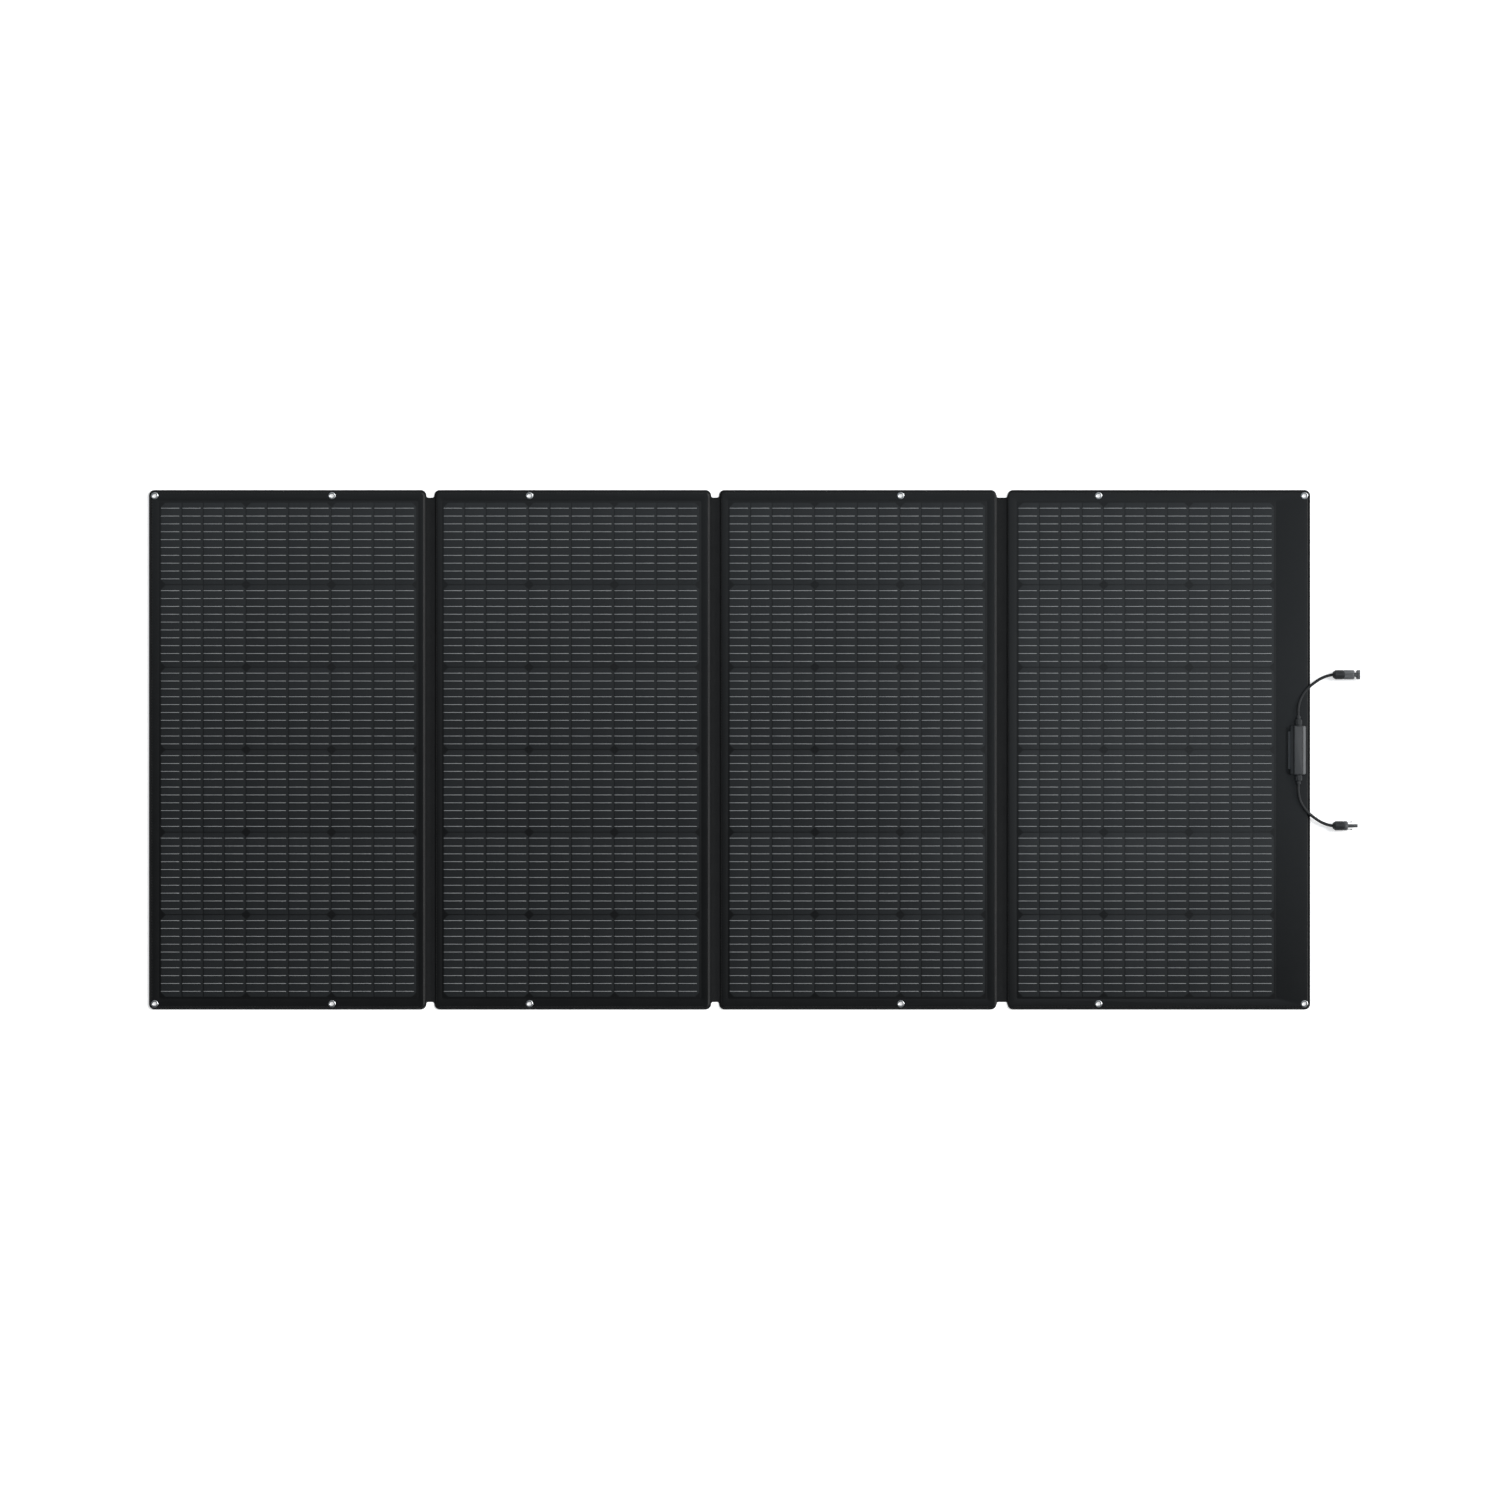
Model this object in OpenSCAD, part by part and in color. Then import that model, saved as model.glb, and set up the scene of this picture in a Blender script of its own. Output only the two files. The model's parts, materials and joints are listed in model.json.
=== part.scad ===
// Folding solar sheet.
// Four stiff solar panels lie side by side and are joined by cloth webs, so the
// sheet folds like an accordion into a flat stack. The last panel carries the
// junction box, from which two short leads run out to their connectors.
// It lies on the ground with its cells up. X runs across the four panels, Y along
// the folds, Z up. The origin is on the ground, under the middle of the sheet.

/* [Sheet] */
// Widths of the four panels, from the first to the one with the junction box
panel_widths = [565, 564, 565, 616.5]; // [560:0.5:640]
// Length of every panel along the folds
sheet_len = 1058; // [1050:1:1100]
// Gaps between the panels at the three folds
fold_gaps = [16, 16, 22.5]; // [14:0.5:23.5]
// Radius of the panel corners
corner_r = 11.4; // [8:0.1:14]

/* [Layers] */
// Thickness of the woven cloth of the backs and the fold webs
cloth_t = 0.8; // [0.6:0.1:1]
// Thickness of the glass-fibre board in a panel
board_t = 2.9; // [2.5:0.1:3.2]
// Thickness of a solar cell strip
cell_t = 0.3; // [0.2:0.05:0.4]
// Thickness of a flat wire over the cells
ribbon_t = 0.2; // [0.15:0.05:0.25]
// Thickness of the clear front film over the wires
film_t = 0.8; // [0.6:0.1:1]
// Width of the cloth hem outside the board, on the outer edges
hem_w = 4.5; // [4:0.1:5]
// Thickness of the folded hem on top of the back cloth
hem_t = 3.6; // [1.2:0.1:3.8]
// Clear distance between two boards across a fold
board_recess = 25.7; // [24:0.1:28]
// Distance from a panel's end to the end of a fold web
web_notch = 15.3; // [12:0.1:20]
// Radius where a fold web meets a panel's edge
web_fillet = 4; // [2:0.5:4.5]

/* [Cells] */
// Cell strips in a row
strips = 12; // [4:4:12]
// Rows of cells in a panel
rows = 6; // [4:2:6]
// Width of a cell strip
strip_w = 41.5; // [38:0.1:42]
// Gap between two strips of a row
strip_gap = 1.95; // [1:0.05:2]
// Length of a cell strip along the folds
strip_len = 166; // [150:1:166]
// Gap between two rows
row_gap = 2; // [1:0.1:2]
// Leg of the cut corner of a whole cell, which is four strips wide
corner_cut = 8.5; // [4:0.1:10]
// Margins between each panel's left edge and its first cell strip
cell_margins = [24.9, 20, 22.2, 23]; // [18:0.1:30]
// Flat wires over a row
ribbons_per_row = 10; // [4:2:10]
// Distance between two flat wires
ribbon_pitch = 16; // [12:0.5:16]
// Width of a flat wire
ribbon_w = 0.9; // [0.6:0.1:1.2]

/* [Eyelets] */
// Distances of the first panel's eyelets from its left edge
first_eyelets = [11.5, 372.5]; // [11:0.5:550]
// Distance of the second panel's eyelets from its left edge
second_eyelet = 194; // [20:0.5:540]
// Distance of the third panel's eyelets from its left edge
third_eyelet = 370; // [20:0.5:540]
// Distances of the last panel's eyelets from its left edge
last_eyelets = [185.5, 605]; // [20:0.5:605]
// Distance of the eyelets from the panel's ends
eyelet_inset = 11.6; // [10.5:0.1:13]
// Radius of the hole in an eyelet
eyelet_r = 4; // [3:0.1:4.2]
// Radius of an eyelet's barrel
barrel_r = 5; // [4.6:0.1:5.2]
// Radius of an eyelet's front flange and of its back washer
flange_r = 7.4; // [6.5:0.1:8]
// Height of an eyelet's flange above the film
flange_t = 0.8; // [0.5:0.1:1]

/* [Junction box] */
// Distance of the box's middle from the sheet's right edge
box_from_edge = 24.5; // [23:0.5:30]
// Offset of the box's middle along the folds
box_y = -1; // [-10:1:10]
// Length of the box
box_len = 100; // [96:1:104]
// Height of the box above the film
box_h = 18; // [17:0.5:19]
// Radius of the cable glands
gland_r = 7.9; // [7:0.1:7.9]
// Length of a gland's grip
gland_len = 13; // [10:1:16]
// Length of a gland's tapered strain relief
relief_len = 8; // [6:1:12]

/* [Leads] */
// Diameter of a lead
lead_d = 6; // [5:0.1:6]
// Radius of a connector's housing
plug_r = 9.6; // [9:0.1:9.6]
// Length of a connector's cable nut, with its taper
nut_len = 23; // [20:0.5:23]

/* [Hidden] */
$fn = 64;

// heights of the layers
board_z = cloth_t;
cell_z = board_z + board_t;
ribbon_z = cell_z + cell_t;
film_z = ribbon_z + ribbon_t;
face_z = film_z + film_t;

// places of the panels
function total(list, count, i = 0) = i < count ? list[i] + total(list, count, i + 1) : 0;
panels = len(panel_widths);
sheet_w = total(panel_widths, panels) + total(fold_gaps, panels - 1);
half_len = sheet_len / 2;
function left_x(p) = total(panel_widths, p) + total(fold_gaps, p) - sheet_w / 2;
function right_x(p) = left_x(p) + panel_widths[p];
function fold_x(f) = right_x(f) + fold_gaps[f] / 2;
// how far a panel's cloth stands out past its board at a fold
function lip(f) = (board_recess - fold_gaps[f]) / 2;
function board_left(p) = left_x(p) + (p == 0 ? hem_w : lip(p - 1));
function board_right(p) = right_x(p) - (p == panels - 1 ? hem_w : lip(p));
web_half_len = half_len - web_notch;
fold_play = 0.15;
// how far the eyelets' flanges are rounded off
flange_round = 1.2;
EYELETS = [first_eyelets, [second_eyelet], [third_eyelet], last_eyelets];

// places of the cells
strip_pitch = strip_w + strip_gap;
row_pitch = strip_len + row_gap;
cells_w = strips * strip_pitch - strip_gap;
strips_per_cell = 4;
function row_y(r) = (r - (rows - 1) / 2) * row_pitch;
function ribbon_y(r, w) = row_y(r) + (w - (ribbons_per_row - 1) / 2) * ribbon_pitch;
link_w = 5;
link_offset = 3;
ribbon_over = link_offset + link_w;

// the junction box: half widths at its foot, knee, parting line and top
box_x = sheet_w / 2 - box_from_edge;
foot_half = 16;
knee_half = 11;
part_half = 10;
top_half = 8;
plate_t = 1.5;
foot_h = 3;
knee_h = 9;
part_h = 13;
gasket_t = 0.6;
wall_t = 2;
axis_h = 8;
clamp_y = 30;
// the parts inside: terminal blocks with clamped cores, and diodes
block_w = 8;
block_from = 24;
block_len = 14;
block_over = 3.5;
clamp_len = 9;
diode_r = 2.5;
diode_len = 10;
diode_pitch = 12;
rib_len = 76;
rib_w = 4.5;
rib_h = 1.3;
rib_from_middle = 20;
plate_left = 25;
plate_right = 17.5;
plate_chamfer = 6;
stub_r = 4.5;
relief_r = 4;
core_r = 1.5;
gland_bevel = 1.5;
relief_taper = 1;
gland_end = box_len / 2 + gland_len + relief_len;

// the connectors: where the nut's mouth is, and what lies inside
plug_across = 70;
plug_along = 153.8;
plug_z = 9.7;
nut_taper = 5.5;
seal_r = 5;
seal_len = 8;
seal_from = 6;
contact_r = 2.3;
contact_bore = 1.6;
bottom_t = 2;
// the socket: its barrel, neck, flange, and the recess for a plug's sleeve
barrel_end = 42.5;
barrel_bevel = 2;
flange_from = 50;
flange_bevel = 1.6;
neck_r = 4.5;
socket_len = 56;
recess_r = 3.5;
recess_from = 34;
contact_end = 52;
// the plug: its body, and the sleeve and prongs that go into a socket
body_end = 29;
sleeve_from = 34;
sleeve_end = 51;
sleeve_r = 3.2;
sleeve_bore = 2.4;
pin_end = 48;
prong_across = 7.8;
prong_w = 5;
prong_t = 1.6;
prong_from = 27;
prong_len = 13;

// A lead's route from the gland's end into the nut, as [across, along, height]:
// across and along are measured from the middle of the box, height from the ground.
LEAD_ROUTE = [
    [0, gland_end, face_z + axis_h],
    [0, 84, 12.5],
    [2.5, 98, 10.5],
    [8.5, 111.5, 8.5],
    [16.5, 123, 8.2],
    [26, 132, 8.2],
    [36.5, 140, 8.4],
    [47, 146.5, 8.8],
    [58.5, 151.2, 9.3],
    [plug_across, plug_along, plug_z],
    [plug_across + seal_from, plug_along, plug_z]
];
lead_sides = 10;

// ---- shared shapes ----

module rounded_plate(x0, x1, half_y, r) {
    translate([x0 + r, -half_y]) square([x1 - x0 - 2 * r, 2 * half_y]);
    translate([x0, r - half_y]) square([x1 - x0, 2 * half_y - 2 * r]);
    for (x = [x0 + r, x1 - r], y = [r - half_y, half_y - r])
        translate([x, y]) circle(r);
}

module outline(p) {
    rounded_plate(left_x(p), right_x(p), half_len, corner_r);
}

module board_outline(p) {
    rounded_plate(board_left(p), board_right(p), half_len - hem_w, corner_r - hem_w);
}

// children are placed at every eyelet of a panel
module at_eyelets(p) {
    for (place = EYELETS[p], side = [-1, 1])
        translate([left_x(p) + place, side * (half_len - eyelet_inset), 0]) children();
}

// a ring or a disc turned about Z, given by its radii and heights
module ring(r_in, r_out, z0, z1) {
    translate([0, 0, z0]) difference() {
        cylinder(h = z1 - z0, r = r_out);
        translate([0, 0, -1]) cylinder(h = z1 - z0 + 2, r = r_in);
    }
}

// ---- the panels ----

// woven back of a panel, with a seat for each eyelet's washer
module back_cloth(p) {
    color("dimgray") difference() {
        linear_extrude(cloth_t) outline(p);
        translate([0, 0, -1]) at_eyelets(p) cylinder(h = cloth_t + 2, r = flange_r);
    }
}

// where the fold web lies on the cloth of a panel
module web_seat(f) {
    translate([fold_x(f) - board_recess / 2, -web_half_len])
        square([board_recess, 2 * web_half_len]);
}

// folded hem around the board, left out where the fold webs are sewn on
module edge_hem(p) {
    color("black") translate([0, 0, cloth_t]) linear_extrude(hem_t) difference() {
        outline(p);
        board_outline(p);
        if (p > 0) web_seat(p - 1);
        if (p < panels - 1) web_seat(p);
    }
}

module core_board(p) {
    color("darkolivegreen") difference() {
        translate([0, 0, board_z]) linear_extrude(board_t) board_outline(p);
        at_eyelets(p) cylinder(h = cell_z + 1, r = barrel_r);
    }
}

// one strip, with the cut corners of the cell that it was sawn from
module cell_strip(cut_left, cut_right) {
    left = cut_left ? corner_cut : 0;
    right = cut_right ? corner_cut : 0;
    half = strip_len / 2;
    linear_extrude(cell_t) polygon([
        if (cut_left) [0, half - left],
        [left, half],
        [strip_w - right, half],
        if (cut_right) [strip_w, half - right],
        if (cut_right) [strip_w, right - half],
        [strip_w - right, -half],
        [left, -half],
        if (cut_left) [0, left - half]
    ]);
}

module cell_strips(p) {
    color([0.13, 0.14, 0.16]) for (r = [0:rows - 1], s = [0:strips - 1])
        translate([left_x(p) + cell_margins[p] + s * strip_pitch, row_y(r), cell_z])
            cell_strip(s % strips_per_cell == 0, s % strips_per_cell == strips_per_cell - 1);
}

// flat wires along each row, running out onto the string links
module ribbons(p) {
    x0 = left_x(p) + cell_margins[p] - ribbon_over;
    color("silver") for (r = [0:rows - 1], w = [0:ribbons_per_row - 1])
        translate([x0, ribbon_y(r, w) - ribbon_w / 2, ribbon_z])
            cube([cells_w + 2 * ribbon_over, ribbon_w, ribbon_t]);
}

// bars that join the rows in series, from side to side up the panel
module string_links(p) {
    x0 = left_x(p) + cell_margins[p];
    reach = (ribbons_per_row - 1) / 2 * ribbon_pitch + ribbon_w;
    module bar(x, low_row, high_row) {
        translate([x, row_y(low_row) - reach, cell_z])
            cube([link_w, row_y(high_row) - row_y(low_row) + 2 * reach, cell_t]);
    }
    color("gainsboro") {
        for (r = [0:2:rows - 2]) bar(x0 + cells_w + link_offset, r, r + 1);
        for (r = [1:2:rows - 3]) bar(x0 - ribbon_over, r, r + 1);
        bar(x0 - ribbon_over, 0, 0);
        bar(x0 - ribbon_over, rows - 1, rows - 1);
    }
}

// front film, hollowed underneath where the cells, wires and links lie
module front_film(p) {
    x0 = left_x(p) + cell_margins[p] - ribbon_over;
    reach = (rows * row_pitch - row_gap) / 2;
    color([0.2, 0.21, 0.22]) difference() {
        translate([0, 0, cell_z]) linear_extrude(face_z - cell_z) board_outline(p);
        translate([x0, -reach, cell_z - 1])
            cube([cells_w + 2 * ribbon_over, 2 * reach, film_z - cell_z + 1]);
        at_eyelets(p) cylinder(h = face_z + 1, r = barrel_r);
    }
}

// eyelet: a barrel with a rounded front flange
module eyelets(p) {
    color("gray") at_eyelets(p) {
        ring(eyelet_r, barrel_r, 0, face_z);
        translate([0, 0, face_z]) rotate_extrude() polygon([
            [eyelet_r, 0],
            [flange_r, 0],
            [flange_r - flange_round / 4, flange_t / 2],
            [flange_r - flange_round, flange_t],
            [eyelet_r + flange_round, flange_t],
            [eyelet_r, flange_t / 2]
        ]);
    }
}

module eyelet_washers(p) {
    color("gray") at_eyelets(p) ring(barrel_r, flange_r, 0, cloth_t);
}

// half of a fold web, from the board's edge to the fold; side is -1 or 1
module fold_web(f, side) {
    wide = board_recess / 2 - fold_play;
    color([0.12, 0.12, 0.13]) translate([fold_x(f), 0, cloth_t]) linear_extrude(cloth_t)
        scale([side, 1]) {
            translate([fold_play, -web_half_len]) square([wide, 2 * web_half_len]);
            for (end = [-1, 1]) scale([1, end])
                translate([fold_gaps[f] / 2 - web_fillet, web_half_len]) difference() {
                    square(web_fillet);
                    translate([0, web_fillet]) circle(web_fillet);
                }
        }
}

// ---- the junction box ----

// children are placed in the box's own frame: its middle, on the film
module in_box() {
    translate([box_x, box_y, face_z]) children();
}

// a profile across the box, drawn out along it
module along_box(length) {
    translate([0, length / 2, 0]) rotate([90, 0, 0]) linear_extrude(length) children();
}

module box_base() {
    color("dimgray") in_box() difference() {
        union() {
            linear_extrude(plate_t) polygon([
                [-plate_left, box_len / 2 - plate_chamfer],
                [plate_chamfer - plate_left, box_len / 2],
                [plate_right, box_len / 2],
                [plate_right, -box_len / 2],
                [plate_chamfer - plate_left, -box_len / 2],
                [-plate_left, plate_chamfer - box_len / 2]
            ]);
            translate([-rib_from_middle, -rib_len / 2, 0]) cube([rib_w, rib_len, plate_t + rib_h]);
            along_box(box_len) polygon([
                [-foot_half, 0],
                [-foot_half, foot_h],
                [-knee_half, knee_h],
                [-part_half, part_h],
                [part_half, part_h],
                [knee_half, knee_h],
                [foot_half, foot_h],
                [foot_half, 0]
            ]);
        }
        translate([-top_half, wall_t - box_len / 2, foot_h])
            cube([2 * top_half, box_len - 2 * wall_t, part_h]);
        translate([0, -box_len, axis_h]) rotate([-90, 0, 0]) cylinder(h = 2 * box_len, r = stub_r);
    }
}

module box_gasket() {
    color("black") in_box() translate([0, 0, part_h]) linear_extrude(gasket_t) difference() {
        square([2 * part_half, box_len], center = true);
        square([2 * top_half, box_len - 2 * wall_t], center = true);
    }
}

module box_cover() {
    cover_z = part_h + gasket_t;
    color("slategray") in_box() difference() {
        along_box(box_len) polygon([
            [-part_half, cover_z],
            [-top_half, box_h],
            [top_half, box_h],
            [part_half, cover_z]
        ]);
        translate([wall_t - top_half, wall_t - box_len / 2, cover_z - 1])
            cube([2 * (top_half - wall_t), box_len - 2 * wall_t, box_h - wall_t - cover_z + 1]);
    }
}

// two terminal blocks, one at each end, where the leads' cores are clamped
module terminals() {
    color("goldenrod") in_box() for (side = [-1, 1]) scale([1, side, 1])
        difference() {
            translate([-block_w / 2, block_from, foot_h])
                cube([block_w, block_len, axis_h - foot_h + block_over]);
            translate([0, clamp_y, axis_h]) rotate([-90, 0, 0]) cylinder(h = clamp_len, r = core_r);
        }
}

module bypass_diodes() {
    color("black") in_box() for (y = [-diode_pitch, 0, diode_pitch])
        translate([-diode_len / 2, y, foot_h + diode_r])
            rotate([0, 90, 0]) cylinder(h = diode_len, r = diode_r);
}

// gland: a stub through the end wall, a round grip and a tapered strain relief
module gland(side) {
    grip_y = box_len / 2;
    relief_y = grip_y + gland_len;
    color("dimgray") in_box() scale([1, side, 1]) translate([0, 0, axis_h]) rotate([-90, 0, 0])
        rotate_extrude() polygon([
            [core_r, grip_y - wall_t],
            [stub_r, grip_y - wall_t],
            [stub_r, grip_y],
            [gland_r, grip_y],
            [gland_r, relief_y - gland_bevel],
            [gland_r - gland_bevel, relief_y],
            [relief_r + relief_taper, relief_y],
            [relief_r, relief_y + relief_len],
            [core_r, relief_y + relief_len]
        ]);
}

// the leads' cores, from the terminals out to the ends of the glands
module lead_tails() {
    color("orangered") in_box() for (side = [-1, 1])
        scale([1, side, 1]) translate([0, clamp_y, axis_h]) rotate([-90, 0, 0])
            cylinder(h = gland_end - clamp_y, r = core_r);
}

// ---- the leads ----

lead_last = len(LEAD_ROUTE) - 1;
function unit(v) = v / norm(v);
function lead_point(i, side) =
    [box_x + LEAD_ROUTE[i][0], box_y + side * LEAD_ROUTE[i][1], LEAD_ROUTE[i][2]];
function lead_step(i, side) = unit(lead_point(i + 1, side) - lead_point(i, side));
// the way a lead runs at a point of its route
function lead_ahead(i, side) =
    i == 0 ? [0, side, 0] :
    i == lead_last ? [1, 0, 0] :
    unit(lead_step(i - 1, side) + lead_step(i, side));
// the points of the ring around one point of the route
function lead_ring(i, side) =
    let (ahead = lead_ahead(i, side), level = unit(cross(ahead, [0, 0, 1])), up = cross(level, ahead))
    [for (k = [0:lead_sides - 1])
        let (turn = 360 * k / lead_sides)
        lead_point(i, side) + lead_d / 2 * (cos(turn) * level + sin(turn) * up)];
// triangles between one ring and the next
function lead_band(i) = [for (k = [0:lead_sides - 1], half = [0, 1])
    let (a = i * lead_sides + k, b = i * lead_sides + (k + 1) % lead_sides)
    half == 0 ? [a, b, a + lead_sides] : [b, b + lead_sides, a + lead_sides]];

module lead(side) {
    color([0.1, 0.1, 0.1]) polyhedron(
        points = [for (i = [0:lead_last]) each lead_ring(i, side)],
        faces = concat(
            [[for (k = [lead_sides - 1:-1:0]) k]],
            [for (i = [0:lead_last - 1]) each lead_band(i)],
            [[for (k = [0:lead_sides - 1]) lead_last * lead_sides + k]]
        )
    );
}

// children are turned so that their Z runs out along a connector's axis
module at_plug(side) {
    translate([box_x + plug_across, box_y + side * plug_along, plug_z])
        rotate([0, 90, 0]) children();
}

module cable_nut(side) {
    bore_r = lead_d / 2 + 0.1;
    color("black") at_plug(side) rotate_extrude() polygon([
        [bore_r, 0],
        [nut_taper, 0],
        [plug_r, nut_taper],
        [plug_r, nut_len],
        [seal_r, nut_len],
        [seal_r, seal_from],
        [bore_r, seal_from]
    ]);
}

module cable_seal(side) {
    color("firebrick") at_plug(side) ring(core_r, seal_r, seal_from, seal_from + seal_len);
}

module socket_body() {
    color("dimgray") at_plug(1) rotate_extrude() polygon([
        [core_r, seal_from + seal_len],
        [seal_r, seal_from + seal_len],
        [seal_r, nut_len],
        [plug_r, nut_len],
        [plug_r, barrel_end],
        [plug_r - flange_bevel, barrel_end + barrel_bevel],
        [neck_r, barrel_end + barrel_bevel],
        [neck_r, flange_from - barrel_bevel],
        [plug_r - flange_bevel, flange_from - barrel_bevel],
        [plug_r, flange_from],
        [plug_r, socket_len],
        [recess_r, socket_len],
        [recess_r, recess_from],
        [core_r, recess_from]
    ]);
}

// spring contact: a rod through the seal that ends in a tube for the mating pin
module socket_contact() {
    color("gold") at_plug(1) rotate_extrude() polygon([
        [0, seal_from],
        [core_r, seal_from],
        [core_r, recess_from],
        [contact_r, recess_from],
        [contact_r, contact_end],
        [contact_bore, contact_end],
        [contact_bore, recess_from + bottom_t],
        [0, recess_from + bottom_t]
    ]);
}

module plug_body() {
    color("dimgray") {
        at_plug(-1) rotate_extrude() polygon([
            [core_r, seal_from + seal_len],
            [seal_r, seal_from + seal_len],
            [seal_r, nut_len],
            [plug_r, nut_len],
            [plug_r, body_end],
            [seal_r, sleeve_from],
            [sleeve_r, sleeve_from],
            [sleeve_r, sleeve_end],
            [sleeve_bore, sleeve_end],
            [sleeve_bore, sleeve_from + bottom_t],
            [core_r, sleeve_from + bottom_t]
        ]);
        for (side = [-1, 1])
            at_plug(-1) translate([-prong_w / 2, side * prong_across - prong_t / 2, prong_from])
                cube([prong_w, prong_t, prong_len]);
    }
}

module plug_pin() {
    color("gold") at_plug(-1) translate([0, 0, seal_from])
        cylinder(h = pin_end - seal_from, r = core_r);
}

// ---- what is drawn ----

back_cloth(0);  // back_cloth_1
back_cloth(1);  // back_cloth_2
back_cloth(2);  // back_cloth_3
back_cloth(3);  // back_cloth_4
edge_hem(0);  // edge_hem_1
edge_hem(1);  // edge_hem_2
edge_hem(2);  // edge_hem_3
edge_hem(3);  // edge_hem_4
core_board(0);  // core_board_1
core_board(1);  // core_board_2
core_board(2);  // core_board_3
core_board(3);  // core_board_4
cell_strips(0);  // cell_strips_1
cell_strips(1);  // cell_strips_2
cell_strips(2);  // cell_strips_3
cell_strips(3);  // cell_strips_4
ribbons(0);  // ribbons_1
ribbons(1);  // ribbons_2
ribbons(2);  // ribbons_3
ribbons(3);  // ribbons_4
string_links(0);  // string_links_1
string_links(1);  // string_links_2
string_links(2);  // string_links_3
string_links(3);  // string_links_4
front_film(0);  // front_film_1
front_film(1);  // front_film_2
front_film(2);  // front_film_3
front_film(3);  // front_film_4
eyelets(0);  // eyelets_1
eyelets(1);  // eyelets_2
eyelets(2);  // eyelets_3
eyelets(3);  // eyelets_4
eyelet_washers(0);  // eyelet_washers_1
eyelet_washers(1);  // eyelet_washers_2
eyelet_washers(2);  // eyelet_washers_3
eyelet_washers(3);  // eyelet_washers_4
fold_web(0, -1);  // fold_web_1_left
fold_web(0, 1);  // fold_web_1_right
fold_web(1, -1);  // fold_web_2_left
fold_web(1, 1);  // fold_web_2_right
fold_web(2, -1);  // fold_web_3_left
fold_web(2, 1);  // fold_web_3_right
box_base();
box_gasket();
box_cover();
terminals();
bypass_diodes();
gland(1);  // gland_top
gland(-1);  // gland_bottom
lead_tails();
lead(1);  // lead_top
cable_nut(1);  // socket_nut
cable_seal(1);  // socket_seal
socket_contact();
socket_body();
lead(-1);  // lead_bottom
cable_nut(-1);  // plug_nut
cable_seal(-1);  // plug_seal
plug_pin();
plug_body();
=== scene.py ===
"""Looks of the folding solar sheet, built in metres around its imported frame."""
import json
import math

import bpy
from mathutils import Matrix, Vector, noise


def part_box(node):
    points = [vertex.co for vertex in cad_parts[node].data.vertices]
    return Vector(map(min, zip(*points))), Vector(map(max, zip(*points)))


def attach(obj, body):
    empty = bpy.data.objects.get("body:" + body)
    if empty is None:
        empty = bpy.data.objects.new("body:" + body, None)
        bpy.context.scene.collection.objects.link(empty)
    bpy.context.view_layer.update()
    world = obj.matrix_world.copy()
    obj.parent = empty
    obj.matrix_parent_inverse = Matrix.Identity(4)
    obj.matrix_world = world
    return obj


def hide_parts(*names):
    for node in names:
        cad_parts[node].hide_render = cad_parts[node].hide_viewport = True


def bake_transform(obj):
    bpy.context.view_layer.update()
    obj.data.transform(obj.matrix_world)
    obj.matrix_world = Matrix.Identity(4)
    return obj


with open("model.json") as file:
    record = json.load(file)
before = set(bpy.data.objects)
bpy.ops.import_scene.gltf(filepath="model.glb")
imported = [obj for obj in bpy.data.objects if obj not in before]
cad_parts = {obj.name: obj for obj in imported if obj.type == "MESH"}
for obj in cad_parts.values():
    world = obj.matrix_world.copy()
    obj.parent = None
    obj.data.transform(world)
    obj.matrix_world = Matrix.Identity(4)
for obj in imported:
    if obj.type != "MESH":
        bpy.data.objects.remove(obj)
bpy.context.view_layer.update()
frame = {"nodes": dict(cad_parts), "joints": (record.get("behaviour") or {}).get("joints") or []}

MM = 0.001
PANELS = (1, 2, 3, 4)
FOLDS = (1, 2, 3)


# ---- sizes and places, in metres, from the frame ----

def rect(node):
    """The (x0, x1, y0, y1) of a CAD node."""
    low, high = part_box(node)
    return low.x, high.x, low.y, high.y


def grown(area, left, right, end):
    """A rectangle moved out by these amounts at its left, its right and both ends."""
    x0, x1, y0, y1 = area
    return x0 - left, x1 + right, y0 - end, y1 + end


CLOTH = {p: rect(f"back_cloth_{p}") for p in PANELS}
BOARD = {p: rect(f"core_board_{p}") for p in PANELS}
CELLS = {p: rect(f"cell_strips_{p}") for p in PANELS}
FACE_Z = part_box("front_film_1")[1].z
WEB_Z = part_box("fold_web_1_left")[1].z
EYELET_FLANGE_R = 7.4 * MM
BARREL_R = 5 * MM
CORNER_R = 11.4 * MM
BOARD_CORNER_R = 6.9 * MM
WEB_FILLET = 4 * MM

STRIPS, ROWS, STRIPS_PER_CELL, WIRES = 12, 6, 4, 10
STRIP_GAP = 1.95 * MM
ROW_GAP = 2 * MM
CORNER_CUT = 8.5 * MM
# how much a cut corner's leg shortens when an outline moves in
CUT_SHARE = 0.586
STRIP_W = (CELLS[1][1] - CELLS[1][0] - (STRIPS - 1) * STRIP_GAP) / STRIPS
STRIP_LEN = (CELLS[1][3] - CELLS[1][2] - (ROWS - 1) * ROW_GAP) / ROWS
WIRE_PITCH = 16 * MM
WIRE_W = 0.9 * MM
WIRE_LEN = 37.3 * MM
WIRE_LEAD = 0.5 * MM


def fold_x(f):
    """Where the axis of a fold is."""
    return frame["joints"][f - 1]["pos_m"][0]


def eyelet_places(p):
    """The centres of a panel's eyelets."""
    x0, x1, y0, y1 = rect(f"eyelets_{p}")
    columns = {round(x0 + EYELET_FLANGE_R, 5), round(x1 - EYELET_FLANGE_R, 5)}
    ends = (y0 + EYELET_FLANGE_R, y1 - EYELET_FLANGE_R)
    return [(x, y) for x in sorted(columns) for y in ends]


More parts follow.
